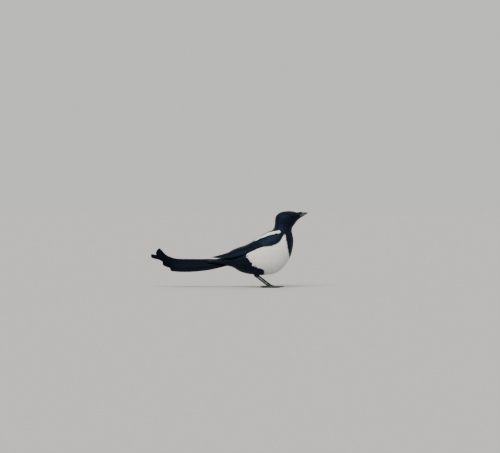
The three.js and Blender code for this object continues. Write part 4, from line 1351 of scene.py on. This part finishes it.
def billPoint(place, angle, upper, lift=0.0):
    row = ribAt(np.array(bill["stations"], float), place)
    x, top, mouth, bottom, half = (row[..., k] for k in range(5))
    flat = mouth + (bill["parting"] if upper else -bill["parting"])
    far = np.maximum(top, flat + 0.2) if upper else np.minimum(bottom, flat - 0.2)
    y = (half + lift) * np.cos(angle)
    z = flat + (far + (lift if upper else -lift) - flat) * np.sin(angle) ** bill["roundness"]
    return np.stack(np.broadcast_arrays(x, y, z), axis=-1)


def makeBill():
    last = len(bill["stations"]) - 1
    for name, upper, end in (("upper", True, last), ("lower", False, last - bill["overhang"])):
        place, angle = np.meshgrid(
            np.linspace(0, end, bill["rings"]), np.linspace(0, math.pi, bill["around"]), indexing="ij")
        points = billPoint(place, angle, upper)
        faces = tubeFaces(bill["rings"], bill["around"])
        half = makePiece("bill" + name.title(), points.reshape(-1, 3), faces, horn)
        turnOutwards(half)
        half.data.set_sharp_from_angle(angle=math.radians(45))
        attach(half, "root")
        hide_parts("bill_" + name)


# Bristles point forwards from the root of both halves of the bill and cover the nostrils. length, width
# and rise are millimetres, and last is the station of the foremost roots.
bristles = {
    "upper": {"spacing": 0.75, "length": 12.5, "width": 1.3, "rise": 0.75, "last": 1.75, "seed": 4},
    "lower": {"spacing": 0.8, "length": 5.5, "width": 1.3, "rise": 0.7, "last": 1.45, "seed": 5},
    "margin": 0.12,         # radians between them and the line of the mouth
    "untidiness": 0.3,
}


def makeBristles():
    place, angle = np.meshgrid(np.linspace(0, 4.5, 60), np.linspace(0.02, math.pi - 0.02, 50), indexing="ij")
    fromSeam = math.pi / 2 - np.abs(angle - math.pi / 2)
    for name in ("upper", "lower"):
        kind = bristles[name]
        points = billPoint(place, angle, name == "upper", 0.1)
        heights = points[..., 2]
        seam = heights.min() if name == "upper" else heights.max()
        outs = unit((points - (0, 0, seam)) * (0, 1, 1))
        size = np.ones(points.shape) * (kind["length"], kind["width"], kind["rise"])
        size[..., 0] *= np.interp(place, [0, 1.6], [1.0, 0.75]) * (0.55 + 0.45 * np.abs(np.sin(2 * angle)))
        cover = (place > 0.1) & (place < kind["last"]) & (fromSeam > bristles["margin"])
        field = makeField(name + "BristleSheet", points, outs, size, cover.astype(float), heading=math.pi)
        piece = layFeathers(name + "Bristles", scatteredTree, field, {
            "Field": field, "Feather": headFeather, "Spacing": kind["spacing"] * mm, "Seed": kind["seed"],
            "Root depth": 0.0, "Untidiness": bristles["untidiness"], "Finish": blackFeathers,
        })
        bpy.data.objects.remove(field)
        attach(piece, "root")


eye = {
    "x": 163,
    "z": 187.6,
    "around": 40,
    "rings": 26,
    "lidRadius": 3.95,
    "lidThick": 0.6,
    "lidFolds": 9,
    "lidRaise": 2.3,        # from the middle of the eyeball outwards
    "lidAround": 48,
    "lidSides": 14,
    "upperSquint": 0.92,    # how much flatter than round the opening is over the pupil and under it
    "lowerSquint": 0.97,
}


# The way an eye looks: from its centre to the body's surface over the eye's place in the side view.
def eyeAxis(side, centre):
    along, across = np.meshgrid(np.arange(11, 14, 0.02), np.arange(20, 130, 0.5), indexing="ij")
    points = ribPoint(bodyRibs, along, across)
    miss = np.hypot(points[..., 0] - eye["x"], points[..., 2] - eye["z"])
    best = np.unravel_index(np.argmin(miss), miss.shape)
    return unit(points[best] * (1, side, 1) - centre)


def makeEyes():
    for name, side in sides.items():
        centre, radius = frameEye(name)
        axis = eyeAxis(side, centre)
        sideways = unit(np.cross(axis, (0, 0, 1)))
        up = np.cross(sideways, axis)
        ways = np.stack([sideways, up, axis])

        rings, around = eye["rings"], eye["around"]
        points = centre + radius * unitBall(rings, around, 0.02) @ ways
        faces = tubeFaces(rings, around)
        ball = makePiece("eyeball" + name.title(), points.reshape(-1, 3), faces, eyeSurface)
        turnOutwards(ball)
        spots = np.array([v.co for v in ball.data.vertices]) / mm
        storeValues(ball, "reach", np.linalg.norm(np.cross(spots - centre, axis), axis=-1) / radius)
        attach(ball, "root")
        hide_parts("eye_" + name)

        # both lids as one ring of folded skin, closed on itself
        rings, around = eye["lidAround"], eye["lidSides"]
        turn, tilt = np.meshgrid(fullTurn(rings), fullTurn(around), indexing="ij")
        thick = eye["lidThick"] * (1 + 0.12 * np.cos(eye["lidFolds"] * turn))
        reach = eye["lidRadius"] + thick * np.cos(tilt)
        squint = np.where(np.sin(turn) > 0, eye["upperSquint"], eye["lowerSquint"])
        height = eye["lidRaise"] + 0.8 * thick * np.sin(tilt)
        ring = np.stack([reach * np.cos(turn), reach * squint * np.sin(turn), height], axis=-1)
        points = centre + ring @ ways
        corners = np.arange(rings * around).reshape(rings, around)
        ahead = np.roll(corners, -1, axis=0)
        faces = np.stack([corners, np.roll(corners, -1, axis=1), np.roll(ahead, -1, axis=1), ahead], axis=-1)
        lids = makePiece("lids" + name.title(), points.reshape(-1, 3), faces.reshape(-1, 4).tolist(), lid)
        turnOutwards(lids)
        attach(lids, "root")


makeBill()
makeBristles()
makeEyes()
print("head made")


# Legs, toes and claws

tarsus = {
    "along": [0, 0.03, 0.08, 0.14, 0.85, 0.93, 1],
    "width": [1.8, 2.7, 2.8, 1.8, 1.75, 2.3, 2.6],
    "depth": [2.0, 3.0, 3.1, 2.25, 2.2, 2.6, 2.4],
    "scuted": (0.13, 0.93),
    "scutes": 12,
    "rise": 0.32,
    "rings": 110,
    "around": 20,
}
pad = {"radius": 3.4, "flat": (1, 1, 0.85), "sunk": 1.7, "rings": 14, "around": 20}
toe = {"height": 1.5, "slender": 0.68, "scuteRise": 0.3, "rings": 90, "around": 16}
claw = {"high": 0.42, "tip": 0.35, "rings": 26, "around": 14}
floorLevel = 0.02

# turn is in degrees from straight ahead, outwards below 0, and lengths are millimetres.
toes = {
    "hind": {"turn": 177, "length": 17, "claw": 11, "radius": 2.5, "scutes": 6},
    "inner": {"turn": 25, "length": 19, "claw": 8, "radius": 2.2, "scutes": 7},
    "middle": {"turn": 1, "length": 27.5, "claw": 9.5, "radius": 2.4, "scutes": 10},
    "outer": {"turn": -24, "length": 21, "claw": 8, "radius": 2.2, "scutes": 8},
}


# A closed tube round a line of points, given its half width and half depth there. rise thickens its
# upper half only.
def makeTube(points, width, depth, rise, around):
    way = unit(np.gradient(points, axis=0))
    sideways = np.stack([-way[:, 1], way[:, 0], 0 * way[:, 0]], axis=-1)
    steep = np.linalg.norm(sideways, axis=-1, keepdims=True) < 0.05
    sideways = unit(np.where(steep, (0.0, 1.0, 0.0), sideways))
    up = unit(np.cross(way, sideways))
    up *= np.where(up[:, 2:] < 0, -1, 1)
    angle = fullTurn(around) + math.pi / around
    high = depth[:, None] + rise[:, None] * np.maximum(np.sin(angle), 0) ** 0.5
    rings = (points[:, None] + sideways[:, None] * (width[:, None] * np.cos(angle))[..., None]
             + up[:, None] * (high * np.sin(angle))[..., None])
    rings[..., 2] = np.maximum(rings[..., 2], floorLevel)
    return {"verts": rings.reshape(-1, 3), "faces": tubeFaces(len(points), around)}


def joinTubes(name, tubes, material):
    piece = makePiece(name, np.vstack([tube["verts"] for tube in tubes]), joinFaces(tubes), material)
    turnOutwards(piece)
    piece.data.set_sharp_from_angle(angle=math.radians(40))
    return piece


# Scutes overlap like tiles: each starts full and thins out towards the next one.
def scuteRise(share, count, first, last, rise):
    inside = np.clip((share - first) / (last - first), 0, 1)
    tile = (inside * count) % 1
    return rise * (1 - tile) * ((inside > 0) & (inside < 1))


def makeFoot(name, side):
    place = legs[name]
    heel, foot = (np.array(place[key], float) * (1, side, 1) for key in ("heel", "foot"))
    share = np.linspace(0, 1, tarsus["rings"])
    width, depth = (np.interp(share, tarsus["along"], tarsus[key]) for key in ("width", "depth"))
    rise = scuteRise(share, tarsus["scutes"], *tarsus["scuted"], tarsus["rise"])
    shin = makeTube(lerp(heel, foot, share[:, None]), width, depth, rise, tarsus["around"])
    ball = pad["radius"] * unitBall(pad["rings"], pad["around"], 0.05) * pad["flat"]
    ball += foot - (0, 0, pad["sunk"])
    ball[..., 2] = np.maximum(ball[..., 2], floorLevel)
    tubes = [shin, {"verts": ball.reshape(-1, 3), "faces": tubeFaces(pad["rings"], pad["around"])}]
    claws = []
    for kind in toes.values():
        angle = math.radians(-side * (place["turn"] + kind["turn"]))
        way = np.array([math.cos(angle), math.sin(angle), 0])
        share = np.linspace(0, 1, toe["rings"])
        points = foot + way * (kind["length"] * share)[:, None]
        points[:, 2] = toe["height"] + (foot[2] - 1.6) * (1 - smoothStep(share, 0, 0.38))
        radius = lerp(kind["radius"], kind["radius"] * toe["slender"], share)
        pads = 1 + 0.09 * np.cos(share * math.pi * kind["scutes"] * 0.8)
        rise = scuteRise(share, kind["scutes"], 0.05, 1.0, toe["scuteRise"])
        tubes.append(makeTube(points, radius * pads, radius * 0.95, rise, toe["around"]))
        # the claw starts inside the toe's end, arches and comes down to its tip
        share = np.linspace(-0.12, 1, claw["rings"])
        outward = np.maximum(share, 0)
        start = points[-1, 2]
        points = points[-1] + way * (0.4 + kind["claw"] * share)[:, None]
        arch = kind["claw"] * claw["high"] * outward * (1 - outward)
        points[:, 2] = start + 0.3 + arch - (start - claw["tip"]) * outward ** 2
        size = radius[-1] * (1 - outward) ** 0.85 + 0.12
        claws.append(makeTube(points, size * 0.72, size * 0.95, 0 * share, claw["around"]))
    skinPiece = joinTubes("foot" + name.title(), tubes, scaledSkin)
    clawPiece = joinTubes("claws" + name.title(), claws, clawHorn)
    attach(skinPiece, "root")
    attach(clawPiece, "root")
    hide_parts("tarsus_" + name, "foot_" + name)
    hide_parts(*(f"claw_{name}_{kind}" for kind in toes))


for name, side in sides.items():
    makeFoot(name, side)
print("legs made")


# Floor, light and camera

stage = {
    "floorSize": 200,
    "floorColour": "#aeaead",
    "floorShade": "#aaaaa9",
    "worldColour": "#f4f4f1",
    "worldStrength": 0.8,
    "distance": 4.875,
    "lens": 135,
    "aim": (0.0525, 0.0, 0.1586),
    "elevation": 0.6,
    "lit": (0.03, 0, 0.1),  # what the lights point at
    "lights": {
        # where each stands, how many degrees wide it is, its strength and its colour
        "key": ((-0.5, -1.4, 1.9), 45, 3.8, "#fffaf4"),
        "fill": ((1.7, -1.2, 1.0), 60, 0.4, "#eef4ff"),
        "rim": ((0.3, 1.6, 1.3), 40, 0.7, "#f2f6ff"),
    },
}


def makeStage():
    # painted board, matt, with a hardly visible grain
    material, tree = newMaterial("pale_matt_floor")
    finishMaterial(tree, {
        "Base Color": layered(tree, stage["floorColour"], (grain(tree, 4.0), stage["floorShade"])),
        "Roughness": 0.95, "Specular IOR Level": 0.0,
    })
    corners = np.array([(-1, -1, 0), (1, -1, 0), (1, 1, 0), (-1, 1, 0)]) * stage["floorSize"] / 2 / mm
    floor = makePiece("floor", corners, [(0, 1, 2, 3)], material)
    world = bpy.data.worlds.new("studio")
    world.use_nodes = True
    background = world.node_tree.nodes["Background"]
    background.inputs[0].default_value = linear(stage["worldColour"])
    background.inputs[1].default_value = stage["worldStrength"]
    bpy.context.scene.world = world


# Very wide soft lights, which light the whole floor evenly.
def makeLights():
    for name, (place, spread, strength, colour) in stage["lights"].items():
        light = bpy.data.lights.new(name, "SUN")
        light.angle = math.radians(spread)
        light.energy = strength
        light.color = linear(colour)[:3]
        lamp = bpy.data.objects.new(name, light)
        lamp.location = place
        lamp.rotation_euler = (Vector(stage["lit"]) - lamp.location).to_track_quat("-Z", "Y").to_euler()
        bpy.context.scene.collection.objects.link(lamp)


def makeCamera():
    camera = bpy.data.cameras.new("camera")
    camera.lens = stage["lens"]
    camera.sensor_width = 36
    camera.clip_end = 100
    holder = bpy.data.objects.new("camera", camera)
    aim = Vector(stage["aim"])
    tilt = math.radians(stage["elevation"])
    holder.location = aim + stage["distance"] * Vector((0, -math.cos(tilt), math.sin(tilt)))
    holder.rotation_euler = (aim - holder.location).to_track_quat("-Z", "Y").to_euler()
    bpy.context.scene.collection.objects.link(holder)
    bpy.context.scene.camera = holder


makeStage()
makeLights()
makeCamera()
print("stage made")

for template in (bodyFeather, headFeather, covertFeather):
    bpy.data.objects.remove(template)
